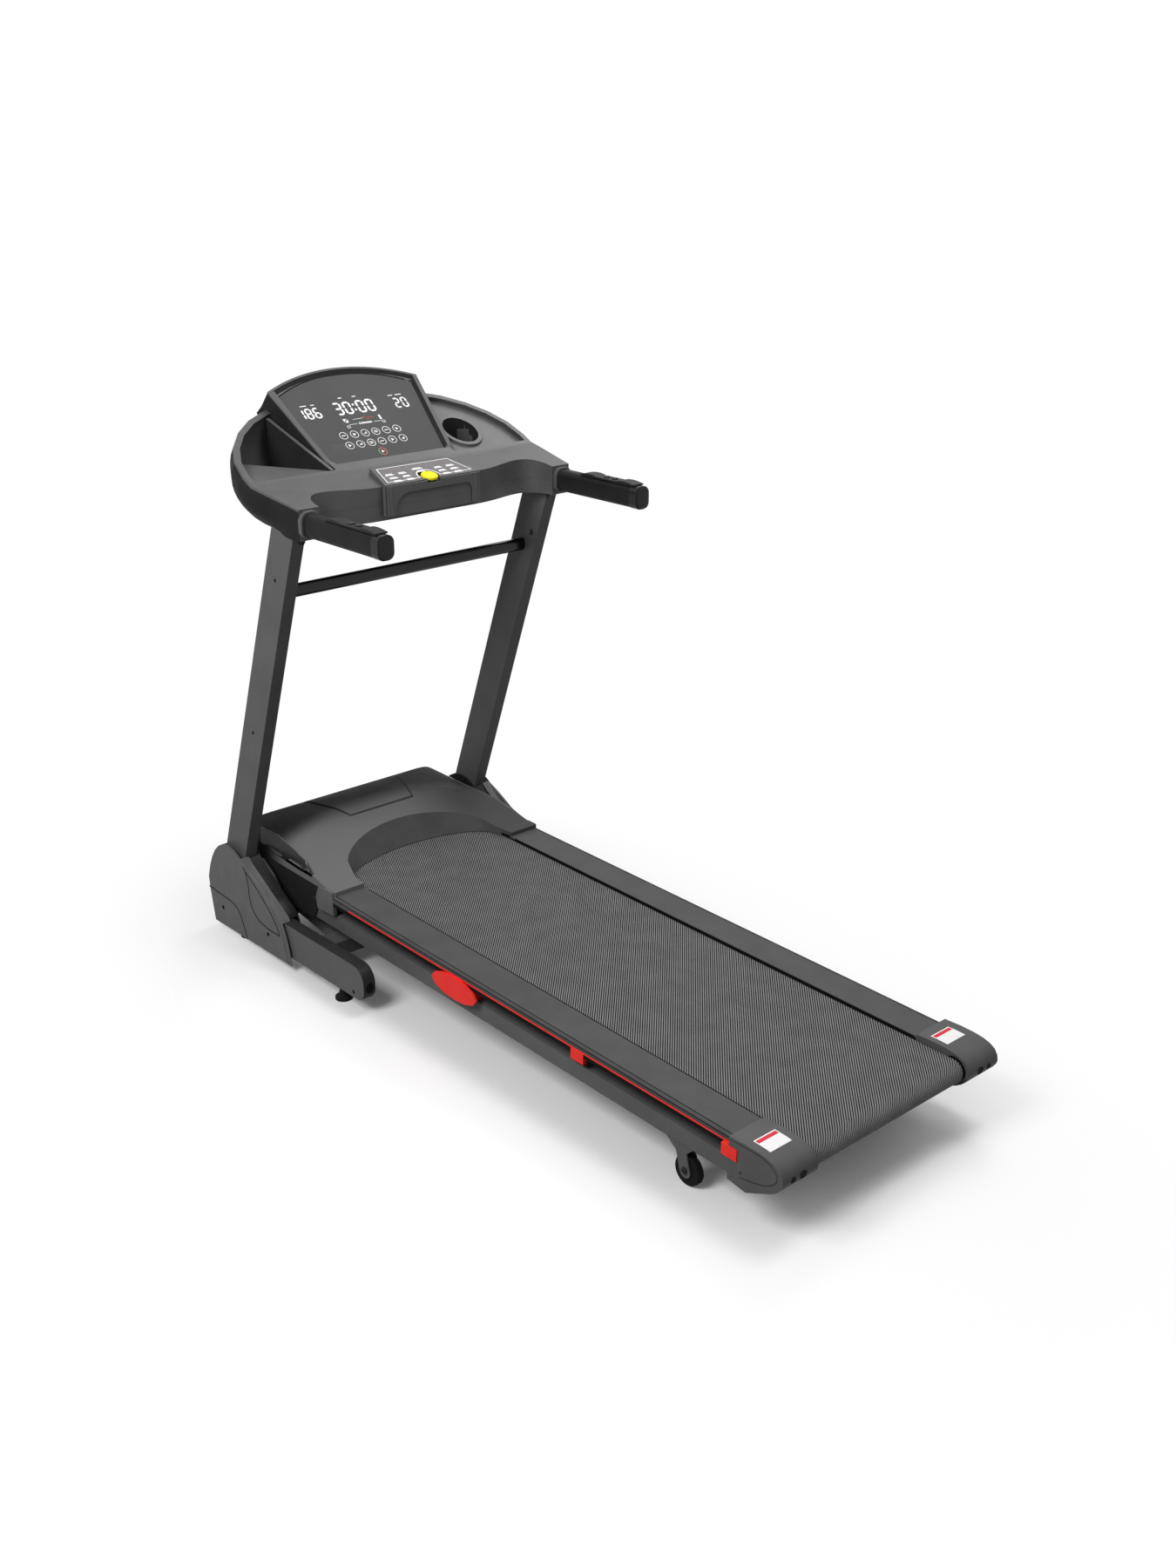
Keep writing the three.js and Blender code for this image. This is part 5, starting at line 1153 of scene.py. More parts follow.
@dataclass
class FrameTube:
    """A side tube of the deck frame, drawn at its full height under the rail.

    Attributes:
        levels: pairs of a level of the CAD tube and where it is drawn, below the rail's top.
    """

    levels: tuple[Point, ...] = ((-54.0, -40.0), (-90.0, -84.0))

    def build(self, deck: Matrix) -> None:
        """Builds both sides.

        Args:
            deck: the deck's own frame.
        """
        inward = deck.inverted()
        for side in Side:
            node = f"frame_tube_{side.label}"
            piece = Piece(f"deck_side_tube_{side.label}", "deck", "powder_coat", (POWDER_COAT,))
            copied(piece, node)
            for vert in piece.bm.verts:
                x, y, z = (c / MM for c in inward @ vert.co)
                for level, drawn in self.levels:
                    if abs(z - level) < 0.6 and 40 < y < 1200:
                        vert.co = deck @ at(x, y, drawn)
            made = piece.done()
            rounded(made, 1.2)
            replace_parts(made, node)
            bolt = Piece(f"wheel_bolt_{side.label}", "deck", "bright_steel", (SATIN_COAT,))
            add_turned(bolt.bm, [(0, -0.5), (7.0, -0.5), (7.0, 0.8), (5.2, 2.4), (3.2, 2.8), (2.4, 1.2),
                                 (0, 1.2)], side_place(292, side) @ Matrix.Translation(at(-653, 36, 0)))
            bolt.done()


# ------------------------------------------------------------------ motor hood
@dataclass
class HoodTrim:
    """Dark sheet of painted shade over the sunk leaf, and the seams and end blocks of the motor hood.

    Attributes:
        leaf_top: upper edge of the leaf on one side of the hood, as (x, y, z).
        leaf_foot: its lower edge.
        plate: corners of the raised plate's seam, as (x, y).
        block: outline of an end block, as (y, z).
    """

    leaf_top: tuple[tuple[float, float, float], ...] = (
        (271, 824, 253), (268, 759, 254), (277, 670, 248), (284, 600, 238), (296, 560, 227))
    leaf_foot: tuple[tuple[float, float, float], ...] = (
        (273, 822, 250), (298, 785, 236), (300, 711, 226), (300, 616, 220), (299, 562, 219))
    plate: tuple[Point, ...] = ((137, 838), (94, 702), (-94, 702), (-137, 838))
    block: tuple[Point, ...] = ((475, 211), (475, 152), (541, 149), (546, 178), (533, 207), (500, 212))
    out: tuple[float, float] = (0.75, 0.66)

    def spot(self, line: Sequence[Sequence[float]], share: float, side: Side) -> Vector:
        """A point part of the way along a line on one side.

        Args:
            line: corners of the line.
            share: how far along it.
            side: the side.

        Returns:
            The point, in metres.
        """
        run = share * (len(line) - 1)
        start = min(int(run), len(line) - 2)
        a, b = (at(side.value * line[i][0], *line[i][1:]) for i in (start, start + 1))
        return a.lerp(b, run - start)

    def painted_sheen(self, bm: BMesh) -> None:
        """Marks how much painted sheen each corner of the hood takes: most on its low slopes towards the
        runner, less on its right side.

        Args:
            bm: the shell's mesh.
        """
        layer = bm.verts.layers.float.new("painted_sheen")
        for vert in bm.verts:
            x, y = vert.co.x / MM, vert.co.y / MM
            edge = 735 - 0.12 * max(0.0, abs(x) - 120)
            vert[layer] = (1 - smoothstep(edge - 40, edge + 40, y)) * (1 - 0.6 * smoothstep(20, 220, x))

    def shell(self) -> None:
        """Builds the hood's moulding, with painted sheen on its low slopes and painted light on the
        rear-facing faces of its scoop.
        """
        piece = Piece("hood_shell", "deck", "textured_abs", (HOOD_ABS, SCOOP_PAINTED_LIGHT), smooth=32)
        copied(piece, "motor_hood")
        for axis, low, high in ((1, 480, 900), (0, -290, 290)):
            normal = Vector((0, 0, 0))
            normal[axis] = 1
            for step in range(low, high, 20):
                bmesh.ops.bisect_plane(piece.bm, geom=[*piece.bm.verts, *piece.bm.edges, *piece.bm.faces],
                                       dist=1e-5, plane_co=normal * (step + 3.3) * MM, plane_no=normal)
        piece.bm.normal_update()
        self.painted_sheen(piece.bm)
        for face in piece.bm.faces:
            y = face.calc_center_median().y / MM
            # painted light: scoop faces that turn to the rear and up take the lighter material
            face.material_index = int(face.normal.y < -0.55 and face.normal.z > 0.2 and y < 700)
        made = piece.done()
        rounded(made, 0.8)
        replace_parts(made, "motor_hood")

    def leaf(self, side: Side, skin: Surface) -> None:
        """Lays a dark sheet of painted shade over the sunk leaf, and the bead along its upper edge."""
        out = Vector((side.value * self.out[0], 0, self.out[1]))
        part = bmesh.new()
        bmesh.ops.create_grid(part, x_segments=20, y_segments=5, size=0.5)
        for vert in part.verts:
            along, across = vert.co.x + 0.5, vert.co.y + 0.5
            aim = self.spot(self.leaf_top, along, side).lerp(
                self.spot(self.leaf_foot, along, side), across)
            met = skin.hit(aim + out * 0.08, -out)
            vert.co = (met[0] if met else aim) + out * 0.5 * MM
        bmesh.ops.solidify(part, geom=part.faces[:], thickness=0.4 * MM)
        # painted shade: a dark sheet over the sunk leaf
        leaf = Piece(f"hood_leaf_shade_{side.label}", "deck", "gloss_abs", (GLOSS_ABS,))
        join(leaf.bm, part, Matrix.Identity(4))
        leaf.done()
        bead = Piece(f"hood_edge_bead_{side.label}", "deck", "textured_abs", (TEXTURED_ABS,))
        line = [self.spot(self.leaf_top, i / 12, side) for i in range(13)]
        hits = [skin.hit(p + out * 0.08, -out) for p in line]
        add_wire(bead.bm, [h[0] + out * 0.2 * MM for h in hits if h], 1.5)
        bead.done()

    def blocks(self, side: Side) -> None:
        """Builds the block that closes the hood over a rail's end, and the pan's screw."""
        block = Piece(f"hood_end_block_{side.label}", "deck", "textured_abs", (TEXTURED_ABS,))
        add_plate(block.bm, self.block, 12.5, side_place(292, side))
        rounded(block.done(), 2.0)
        screw = Piece(f"pan_screw_{side.label}", "deck", "bright_steel", (SATIN_COAT,))
        add_turned(screw.bm, [(0, -0.5), (5, -0.5), (5, 0.6), (3.6, 1.6), (2.2, 1.8), (1.6, 0.8), (0, 0.8)],
                   side_place(294.8, side) @ Matrix.Translation(at(569, 162, 0)))
        screw.done()

    def build(self) -> None:
        """Builds both sides and the plate's seam."""
        skin = Surface(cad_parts["motor_hood"].data)
        self.shell()
        for side in Side:
            self.leaf(side, skin)
            self.blocks(side)
        seam = Piece("hood_plate_seam", "deck", "gloss_abs", (SEAM_BLACK,))
        corners = [at(x, y, 0) for x, y in self.plate]
        line = skin.lay(corners, Vector((0, 0, -1)), 0.3)
        add_wire(seam.bm, line, 1.3, smooth=False)
        seam.done()


# ------------------------------------------------------------------ running belt
@dataclass
class BeltRibs:
    """Slanting ribs that run right round the outside of the running belt.

    Attributes:
        pitch: between ribs, square to them.
        foot: width of a rib where it meets the belt.
        crest: width of its top.
        height: how far it stands up.
        slant: angle of the ribs from the direction of travel, in degrees.
        side_gap: from the end of a rib to the belt's edge.
        step: longest run of a rib between two of its sections, round a roller.
    """

    pitch: float = 4.6
    foot: float = 2.7
    crest: float = 1.9
    height: float = 0.9
    slant: float = 45.0
    side_gap: float = 1.0
    step: float = 4.0

    def __post_init__(self) -> None:
        """Reads the loop that the belt follows from the rollers and the belt."""
        low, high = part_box("running_belt")
        rear, front = (sum(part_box(n), Vector()) / 2 for n in ("rear_roller", "front_roller"))
        self.half = high.x / MM
        self.rear = rear
        self.run = (front - rear).length
        self.heading = (front - rear).normalized()
        self.out = Vector((0, -self.heading.z, self.heading.y))
        self.radius = rear.y - low.y

    def place(self, travel: float) -> tuple[Vector, Vector, Vector]:
        """A point of the belt's outside.

        Args:
            travel: distance in metres along the belt, from above the rear roller.

        Returns:
            The point at the belt's middle, the outward normal and the direction of travel.
        """
        arc = math.pi * self.radius
        travel %= 2 * (self.run + arc)
        for centre, heading, out in ((self.rear, self.heading, self.out),
                                     (self.rear + self.heading * self.run, -self.heading, -self.out)):
            if travel < self.run:
                return centre + heading * travel + out * self.radius, out, heading
            travel -= self.run
            if travel < arc:
                turn = Matrix.Rotation(-travel / self.radius, 3, "X")
                normal = turn @ out
                return (centre + heading * self.run + normal * self.radius, normal,
                        turn @ heading)
            travel -= arc
        return self.rear + self.out * self.radius, self.out, self.heading

    def section(self, across: float, travel: float) -> list[Vector]:
        """Corners of a rib where it crosses a line along the belt."""
        middle, normal, heading = self.place(travel)
        middle = middle + Vector((across, 0, 0))
        widen = 1 / math.sin(math.radians(self.slant))
        low, high = self.foot / 2 * MM * widen, self.crest / 2 * MM * widen
        up = normal * self.height * MM
        sunk = -normal * 0.15 * MM
        return [middle + sunk - heading * low, middle + sunk + heading * low,
                middle + up + heading * high, middle + up - heading * high]

    def build(self) -> None:
        """Makes all the ribs as one piece."""
        # the ribs take the mid grey of a painted highlight
        piece = Piece("belt_ribs", "deck", "running_belt", (BELT_RIB_PAINTED_HIGHLIGHT,), smooth=20)
        loop = 2 * (self.run + math.pi * self.radius)
        along = self.pitch * MM / math.sin(math.radians(self.slant))
        count = round(loop / along)
        half = (self.half - self.side_gap) * MM
        lean = 1 / math.tan(math.radians(self.slant))
        stations = round(2 * half * lean / (self.step * MM))
        for rib in range(count):
            start = rib * loop / count
            line = [(-half + 2 * half * i / stations) for i in range(stations + 1)]
            normals = [self.place(start + x * lean)[1] for x in line]
            kept = [i for i in range(stations + 1) if i in (0, stations)
                    or (normals[i] - normals[i - 1]).length > 1e-6
                    or (normals[i] - normals[i + 1]).length > 1e-6]
            add_sweep(piece.bm, [self.section(line[i], start + line[i] * lean) for i in kept])
        piece.closed()


# ------------------------------------------------------------------ deck
@dataclass
class DeckTrim:
    """Strips and blocks along the rails, and the details of the end caps.

    Attributes:
        rail_outer: outer face of the rails.
        strip_top: top of the red strip below the rail's top.
        strip_bottom: its bottom.
        strip_front: where it ends, from the rear end of the rails.
        block_bottom: bottom of the small red blocks.
        blocks: where the blocks begin and end along the rail.
    """

    rail_outer: float = 304.0
    groove_top: float = 3.4
    groove_bottom: float = 5.6
    line_x: float = 297.0
    strip_top: float = 12.0
    strip_bottom: float = 15.4
    strip_front: float = 1192.0
    lip_bottom: float = 24.0
    block_bottom: float = 39.0
    blocks: tuple[Point, ...] = ((394.0, 431.0), (-22.0, 16.0))
    cap_outer: float = 311.0

    def __post_init__(self) -> None:
        """Reads the deck's own frame from a rail."""
        low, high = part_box("side_rail_left")
        rise = RAIL_LENGTH * MM * math.sin(DECK_PITCH)
        corner = Vector((0, low.y - 0.3 * MM, high.z - rise))
        self.place = sheet_place(corner, DECK_PITCH)

    def on_side(self, x: float, side: Side) -> Matrix:
        """Frame of an outline drawn on a sideways face in the deck's own frame."""
        return self.place @ side_place(x, side)

    def strip(self, piece: Piece, side: Side, y: Point, z: Point, proud: float,
              sunk: float = 0.6) -> None:
        """Adds a long bar to the outside of a rail.

        Args:
            piece: the piece it belongs to.
            side: the rail's side.
            y: its two ends along the rail.
            z: its bottom and top.
            proud: how far it stands off the rail.
            sunk: how far it reaches into the rail.
        """
        size = (proud + sunk, y[1] - y[0], z[1] - z[0])
        middle = at(side.value * (self.rail_outer + (proud - sunk) / 2), sum(y) / 2, sum(z) / 2)
        add_slab(piece.bm, size, self.place @ Matrix.Translation(middle), min(0.4, proud), 1)

    def rail(self, side: Side) -> None:
        """Builds the strips of one rail; the dark ones are painted shadow in its grooves, below its red
        strip and on its inner wall.
        """
        dark = Piece(f"rail_shadow_strips_{side.label}", "deck", "gloss_abs", (SEAM_BLACK,))
        self.strip(dark, side, (1.0, RAIL_LENGTH - 2), (-self.groove_bottom, -self.groove_top), 0.25)
        self.strip(dark, side, (1.0, RAIL_LENGTH - 2), (-self.lip_bottom, -self.strip_bottom - 0.2), 0.4)
        top = self.place @ Matrix.Translation(at(side.value * self.line_x, RAIL_LENGTH / 2, 0))
        add_slab(dark.bm, (2.2, RAIL_LENGTH - 6, 0.6), top, 0.2, 1)
        # painted shade: a dark strip on the rail's inner wall, which stands in shade above the belt
        wall = self.place @ Matrix.Translation(at(side.value * 218.8, RAIL_LENGTH / 2 - 8, -4.2))
        add_slab(dark.bm, (1.4, RAIL_LENGTH - 24, 9.0), wall, 0.3, 1)
        dark.done()
        bead = Piece(f"rail_edge_bead_{side.label}", "deck", "textured_abs", (RAIL_ABS,))
        beside = self.place @ Matrix.Translation(at(side.value * (self.line_x - 1.9),
                                                    RAIL_LENGTH / 2, 0))
        add_slab(bead.bm, (2.2, RAIL_LENGTH - 6, 1.2), beside, 0.55, 2)
        bead.done()
        red = Piece(f"rail_red_strip_{side.label}", "deck", "red_elastomer", (RED_ELASTOMER,))
        self.strip(red, side, (1.0, self.strip_front), (-self.strip_bottom, -self.strip_top), 0.9)
        red.done()
        block = Piece(f"rail_red_blocks_{side.label}", "deck", "red_elastomer", (RED_ELASTOMER,))
        for span in self.blocks:
            proud = 1.4 if span[0] > 0 else self.cap_outer - self.rail_outer + 2.2
            self.strip(block, side, span, (-self.block_bottom, -self.strip_bottom + 1), proud, 8.0)
        block.done()

    def cap_shell(self, side: Side) -> bpy.types.Object:
        """Builds an end cap whose underside climbs towards the rear.

        Args:
            side: the rail's side.

        Returns:
            The cap's object.
        """
        node = f"end_cap_{side.label}"
        piece = Piece(f"rail_end_cap_{side.label}", "deck", "textured_abs", (CAP_ABS,))
        copied(piece, node)
        inward = self.place.inverted()
        for vert in piece.bm.verts:
            x, y, z = (c / MM for c in inward @ vert.co)
            climb = 9 * (1 - smoothstep(0, 33, -y)) + 18 * smoothstep(33, 85, -y)
            share = min(1.0, max(0.0, (-25 - z) / 60))
            vert.co = self.place @ at(x, y, z + climb * share)
        made = piece.done()
        rounded(made, 1.4)
        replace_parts(made, node)
        return made

    def cap(self, side: Side) -> None:
        """Builds the inset line, the screw, the bored holes and the blank sticker of an end cap."""
        skin = Surface(self.cap_shell(side).data)
        face = self.on_side(self.cap_outer, side)
        line = [(-2, -1), (-48, 1.0), (-86, -1), (-108, -10), (-117, -26), (-100, -47), (-69, -59),
                (-30, -67)]
        seam = Piece(f"end_cap_line_{side.label}", "deck", "gloss_abs", (SEAM_BLACK,))
        add_wire(seam.bm, (face @ at(y, z, -0.35) for y, z in line), 0.8)
        seam.done()
        screw = Piece(f"end_cap_screw_{side.label}", "deck", "bright_steel", (GLOSS_ABS,))
        add_turned(screw.bm, [(0, -0.5), (3.2, -0.5), (3.0, 0.5), (2.2, 0.8), (1.6, 0.2), (0, 0.2)],
                   face @ Matrix.Translation(at(-31, -57, 0)))
        screw.done()
        holes = Piece(f"end_cap_holes_{side.label}", "deck", "gloss_abs", (SEAM_BLACK,))
        for x, radius in ((283, 6.4), (257, 9.2)):
            start = self.place @ at(side.value * x, -400, -32)
            met = skin.hit(start, self.place.to_3x3() @ Vector((0, 1, 0)))
            if met:
                turn = met[1].to_track_quat("Z", "Y").to_matrix().to_4x4()
                add_turned(holes.bm, [(0, -0.8), (radius, -0.8), (radius, 0.25), (radius - 0.5, 0.5),
                                      (radius - 1.2, 0.12), (0, 0.12)],
                           Matrix.Translation(met[0]) @ turn)
        holes.done()
        self.sticker(side, skin)

    def sticker(self, side: Side, skin: Surface) -> None:
        """Lays a blank two-tone sticker on an end cap's top."""
        x, y = (265.0, -62.0) if side is Side.LEFT else (261.0, -45.0)
        label = Piece(f"blank_sticker_{side.label}", "deck", "gloss_abs", (WHITE_VINYL, RED_VINYL))
        self.drape(label, skin, side.value * x, y, (56, 41), 0.35, 0)
        self.drape(label, skin, side.value * x, y + 13.0, (51, 9), 0.6, 1)
        label.done()

    def drape(self, piece: Piece, skin: Surface, x: float, y: float, size: Point, lift: float,
              material: int) -> None:
        """Lays a thin sheet over a surface.

        Args:
            piece: the piece it belongs to.
            skin: the surface.
            x: the sheet's middle across the deck.
            y: its middle along the deck.
            size: its width and length.
            lift: how far it stands off the surface.
            material: index of its material.
        """
        part = bmesh.new()
        bmesh.ops.create_grid(part, x_segments=6, y_segments=8, size=0.5)
        down = self.place.to_3x3() @ Vector((0, 0, -1))
        for vert in part.verts:
            place = self.place @ at(x + vert.co.x * size[0], y + vert.co.y * size[1], 120)
            met = skin.hit(place, down)
            vert.co = (met[0] if met else place) - down * lift * MM
        bmesh.ops.solidify(part, geom=part.faces[:], thickness=0.25 * MM)
        join(piece.bm, part, Matrix.Identity(4), material)

    def build(self) -> None:
        """Builds both sides."""
        for side in Side:
            self.rail(side)
            self.cap(side)


# ------------------------------------------------------------------ base and uprights
@dataclass
class BaseTrim:
    """Seams, screws, end plugs and feet of the base."""

    cover_face: float = 377.0
    tube_face: float = 369.0
    toe_seam: tuple[Point, ...] = ((911, 100), (880, 98), (847, 96), (807, 93), (780, 82), (762, 55),
                                   (746, 16))
    leaf_seam: tuple[Point, ...] = ((801, 238), (765, 226), (737, 205), (723, 165), (719, 128),
                                    (701, 98), (660, 83), (598, 80))
    ridge_seam: tuple[Point, ...] = ((729, 198), (681, 168), (642, 138), (609, 105), (596, 80))
    rim_seam: tuple[Point, ...] = ((801, 238), (745, 216), (690, 190), (645, 162), (609, 120),
                                   (580, 78), (563, 18))
    cover_screws: tuple[Point, ...] = ((852, 63), (648, 66))
    inner_face: float = 323.6
    bulge: tuple[Point, ...] = ((790, 190), (769, 206), (748, 210), (707, 185), (671, 146), (629, 108),
                                (603, 88), (600, 60), (630, 40), (720, 30), (800, 60))
    bulge_depth: float = 13.0

    def cover(self, side: Side) -> None:
        """Builds the seams and screws of a foot cover's outer face."""
        face = side_place(self.cover_face, side)
        seams = Piece(f"cover_seams_{side.label}", "base", "gloss_abs", (SEAM_BLACK,))
        for line in (self.toe_seam, self.leaf_seam, self.ridge_seam):
            add_wire(seams.bm, (face @ at(y, z, -0.7) for y, z in line), 1.7)
        seams.done()
        bead = Piece(f"cover_rim_bead_{side.label}", "base", "textured_abs", (TEXTURED_ABS,))
        add_wire(bead.bm, (face @ at(y + 4, z + 2, -1.4) for y, z in self.rim_seam), 4.0)
        bead.done()
        screws = Piece(f"cover_screws_{side.label}", "base", "gloss_abs", (SEAM_BLACK,))
        for y, z in self.cover_screws:
            self.screw(screws.bm, face @ Matrix.Translation(at(y, z, 0)), 4.5)
        self.screw(screws.bm, side_place(self.tube_face, side) @ Matrix.Translation(at(309, 48, 0)), 3.5)
        screws.done()

    def screw(self, bm: BMesh, place: Matrix, radius: float) -> None:
        """Adds a screw set in its counterbore."""
        add_turned(bm, [(0, -0.6), (radius + 1, -0.6), (radius + 1, 0.15), (radius, 0.55),
                        (radius - 0.8, 0.1), (radius * 0.55, 0.25), (0, 0.25)], place)

    def plug(self, side: Side) -> None:
        """Builds the oval plug in the rear end of a base tube."""
        low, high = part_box(f"base_tube_{side.label}")
        middle = Vector(((low.x + high.x) / 2, low.y, 0.068))
        turn = Matrix.Rotation(math.pi / 2, 4, "X")
        plug = Piece(f"base_plug_{side.label}", "base", "gloss_abs", (GLOSS_ABS, SEAM_BLACK))
        oval = [(10 * math.cos(t), 13 * math.sin(t)) for t in
                (i / 24 * math.tau for i in range(24))]
        place = Matrix.Translation(middle) @ turn
        add_plate(plug.bm, [(1.12 * a, 1.08 * b) for a, b in oval],
                  0.8, place @ Matrix.Translation(at(0, 0, -0.3)), 0.4)
        add_plate(plug.bm, oval, 0.25, place @ Matrix.Translation(at(0, 0, 0.5)), 0.1, material=1)
        plug.done()

    def tube(self, side: Side) -> None:
        """Builds a base tube with its rounded nose, drawn darker on its narrow faces than on its sides."""
        node = f"base_tube_{side.label}"
        low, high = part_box(node)
        rear, front, top = low.y / MM, high.y / MM, high.z / MM
        inner = min(abs(low.x), abs(high.x)) / MM
        foot, crown, toe = 33.0, 38.0, 30.0
        quarter = [math.radians(9 * i) for i in range(11)]
        outline = [(front, foot), (front, top),
                   *((rear + crown - crown * math.sin(a), top - crown + crown * math.cos(a))
                     for a in quarter),
                   *((rear + toe - toe * math.cos(a), foot + toe - toe * math.sin(a))
                     for a in quarter)]
        piece = Piece(f"base_side_tube_{side.label}", "base", "powder_coat", (POWDER_COAT, SATIN_COAT))
        add_plate(piece.bm, outline, self.tube_face - inner, side_place(inner, side))
        for face in piece.bm.faces:
            face.material_index = int(abs(face.normal.x) < 0.7)
        made = piece.done()
        rounded(made, 2.0)
        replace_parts(made, node)

    def knuckle(self, side: Side) -> None:
        """Builds the glossy bulge on the inner cover beside the hood, drawn lighter as a painted highlight.
        """
        piece = Piece(f"cover_knuckle_{side.label}", "base", "gloss_abs", (KNUCKLE_PAINTED_HIGHLIGHT,), smooth=60)
        inwards = side_place(self.inner_face, side) @ Matrix.Diagonal((1, 1, -1, 1))
        add_plate(piece.bm, self.bulge, self.bulge_depth, inwards)
        rounded(piece.closed(), 7.0, 4)

    def foot(self, side: Side) -> None:
        """Builds the low rubber foot under the front of a cover."""
        foot = Piece(f"front_foot_{side.label}", "base", "black_rubber", (BLACK_RUBBER,))
        add_turned(foot.bm, [(0, 0), (13, 0), (15, 2), (15, 7), (11, 12), (11, 34), (0, 34)],
                   Matrix.Translation(at(side.value * 353, 789, 0)))
        foot.done()

    def build(self) -> None:
        """Builds both sides."""
        for side in Side:
            self.cover(side)
            self.tube(side)
            self.plug(side)
            self.foot(side)
            self.knuckle(side)


@dataclass
class UprightTrim:
    """Bored holes and collar bolts of the uprights."""

    lean: float = 0.369
    depth: float = 86.8
    hole_height: float = 942.0
    bolt_height: float = 1036.0
    hole_radius: float = 4.0

    def build(self) -> None:
        """Builds both sides."""
        angle = math.atan(self.lean)
        for side in Side:
            low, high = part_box(f"upright_{side.label}")
            foot = low.z / MM
            rear_at = (high.y / MM - self.depth) + self.lean * foot
            outer = max(abs(low.x), abs(high.x)) / MM
            holes = Piece(f"upright_holes_{side.label}", "base", "gloss_abs", (SEAM_BLACK,))
            face = side_place(outer, side)
            for height in (self.hole_height, 560.0):
                y = rear_at - self.lean * height + self.depth / 2
                add_turned(holes.bm, [(0, -0.5), (self.hole_radius, -0.5), (self.hole_radius, 0.2),
                                      (self.hole_radius - 0.7, 0.4), (self.hole_radius - 1, 0.1),
                                      (0, 0.1)], face @ Matrix.Translation(at(y, height, 0)))
            holes.done()
            bolt = Piece(f"collar_bolt_{side.label}", "base", "bright_steel", (GLOSS_ENAMEL,))
            x = side.value * (outer - 24)
            y = rear_at - self.lean * self.bolt_height
            place = Matrix.Translation(at(x, y, self.bolt_height)) @ Matrix.Rotation(
                math.pi / 2 + angle, 4, "X")
            add_turned(bolt.bm, [(0, -1), (7.5, -1), (7.5, 1.2), (5.5, 4.2), (3.4, 4.8), (2.6, 3.0),
                                 (0, 3.0)], place, 24)
            bolt.done()
            stay = Piece(f"stay_bolt_{side.label}", "base", "bright_steel", (GLOSS_ENAMEL,))
            inner = min(abs(low.x), abs(high.x)) / MM
            y = rear_at - self.lean * self.hole_height + 22
            turn = Matrix.Translation(at(side.value * inner, y, self.hole_height)) @ Matrix.Rotation(
                -side.value * math.pi / 2, 4, "Y")
            add_turned(stay.bm, [(0, -1), (6.0, -1), (6.0, 1.0), (4.6, 3.2), (2.8, 3.6), (2.2, 2.0),
                                 (0, 2.0)], turn, 24)
            stay.done()


# ------------------------------------------------------------------ handlebars
@dataclass
class HandleTrim:
    """Moulded end caps of the handlebars and the lips of their collars.

    Attributes:
        grow: how far a cap stands proud of its tube.
        length: of the cap along the tube.
        corner: radius of the tube's section.
    """

    grow: float = 0.9
    length: float = 24.0
    corner: float = 14.0
    end_round: float = 4.0
    flange: float = 5.0

    def section(self, low: Vector, high: Vector, inset: float) -> list[Point]:
        """The tube's rounded section, moved inwards.

        Args:
            low: lowest corner of the handle.
            high: highest corner.
            inset: how far inwards, in millimetres.

        Returns:
            Corners as (x, z) in millimetres.
        """
        x0, x1 = low.x / MM + inset, high.x / MM - inset
        z0, z1 = low.z / MM + inset, high.z / MM - inset
        r = self.corner - inset
        corners = ((x1 - r, z1 - r, 0), (x0 + r, z1 - r, 90), (x0 + r, z0 + r, 180), (x1 - r, z0 + r, 270))
        return [(x + r * math.cos(math.radians(start + 15 * i)),
                 z + r * math.sin(math.radians(start + 15 * i)))
                for x, z, start in corners for i in range(7)]

    def build(self) -> None:
        """Builds both sides."""
        for side in Side:
            low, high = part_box(f"handlebar_{side.label}")
            rear = low.y / MM
            stations = [(rear + self.length, 0.0), (rear + self.length, -self.grow),
                        (rear + self.end_round - 2, -self.grow), (rear + 0.6, 0.6), (rear - 0.8, 2.6),
                        (rear - 1.4, 5.6), (rear - 1.6, 9.0)]
            flange = Piece(f"handle_flange_{side.label}", "base", "textured_abs", (CONSOLE_ABS,))
            add_sweep(flange.bm, [[at(x, y, z) for x, z in self.section(low, high, -self.flange)]
                                  for y in (419.0, 406.0)])
            rounded(flange.closed(), 2.0)
            cap = Piece(f"handle_cap_{side.label}", "base", "gloss_abs", (GLOSS_ABS,), smooth=50)
            sections = [[at(x, y, z) for x, z in self.section(low, high, inset)]
                        for y, inset in stations]
            add_sweep(cap.bm, sections)
            cap.closed()


# ------------------------------------------------------------------ display
FIGURES: dict[str, str] = {"0": "abcdef", "1": "ef", "2": "abged", "3": "abgcd", "6": "afgedc",
                           "8": "abcdefg"}


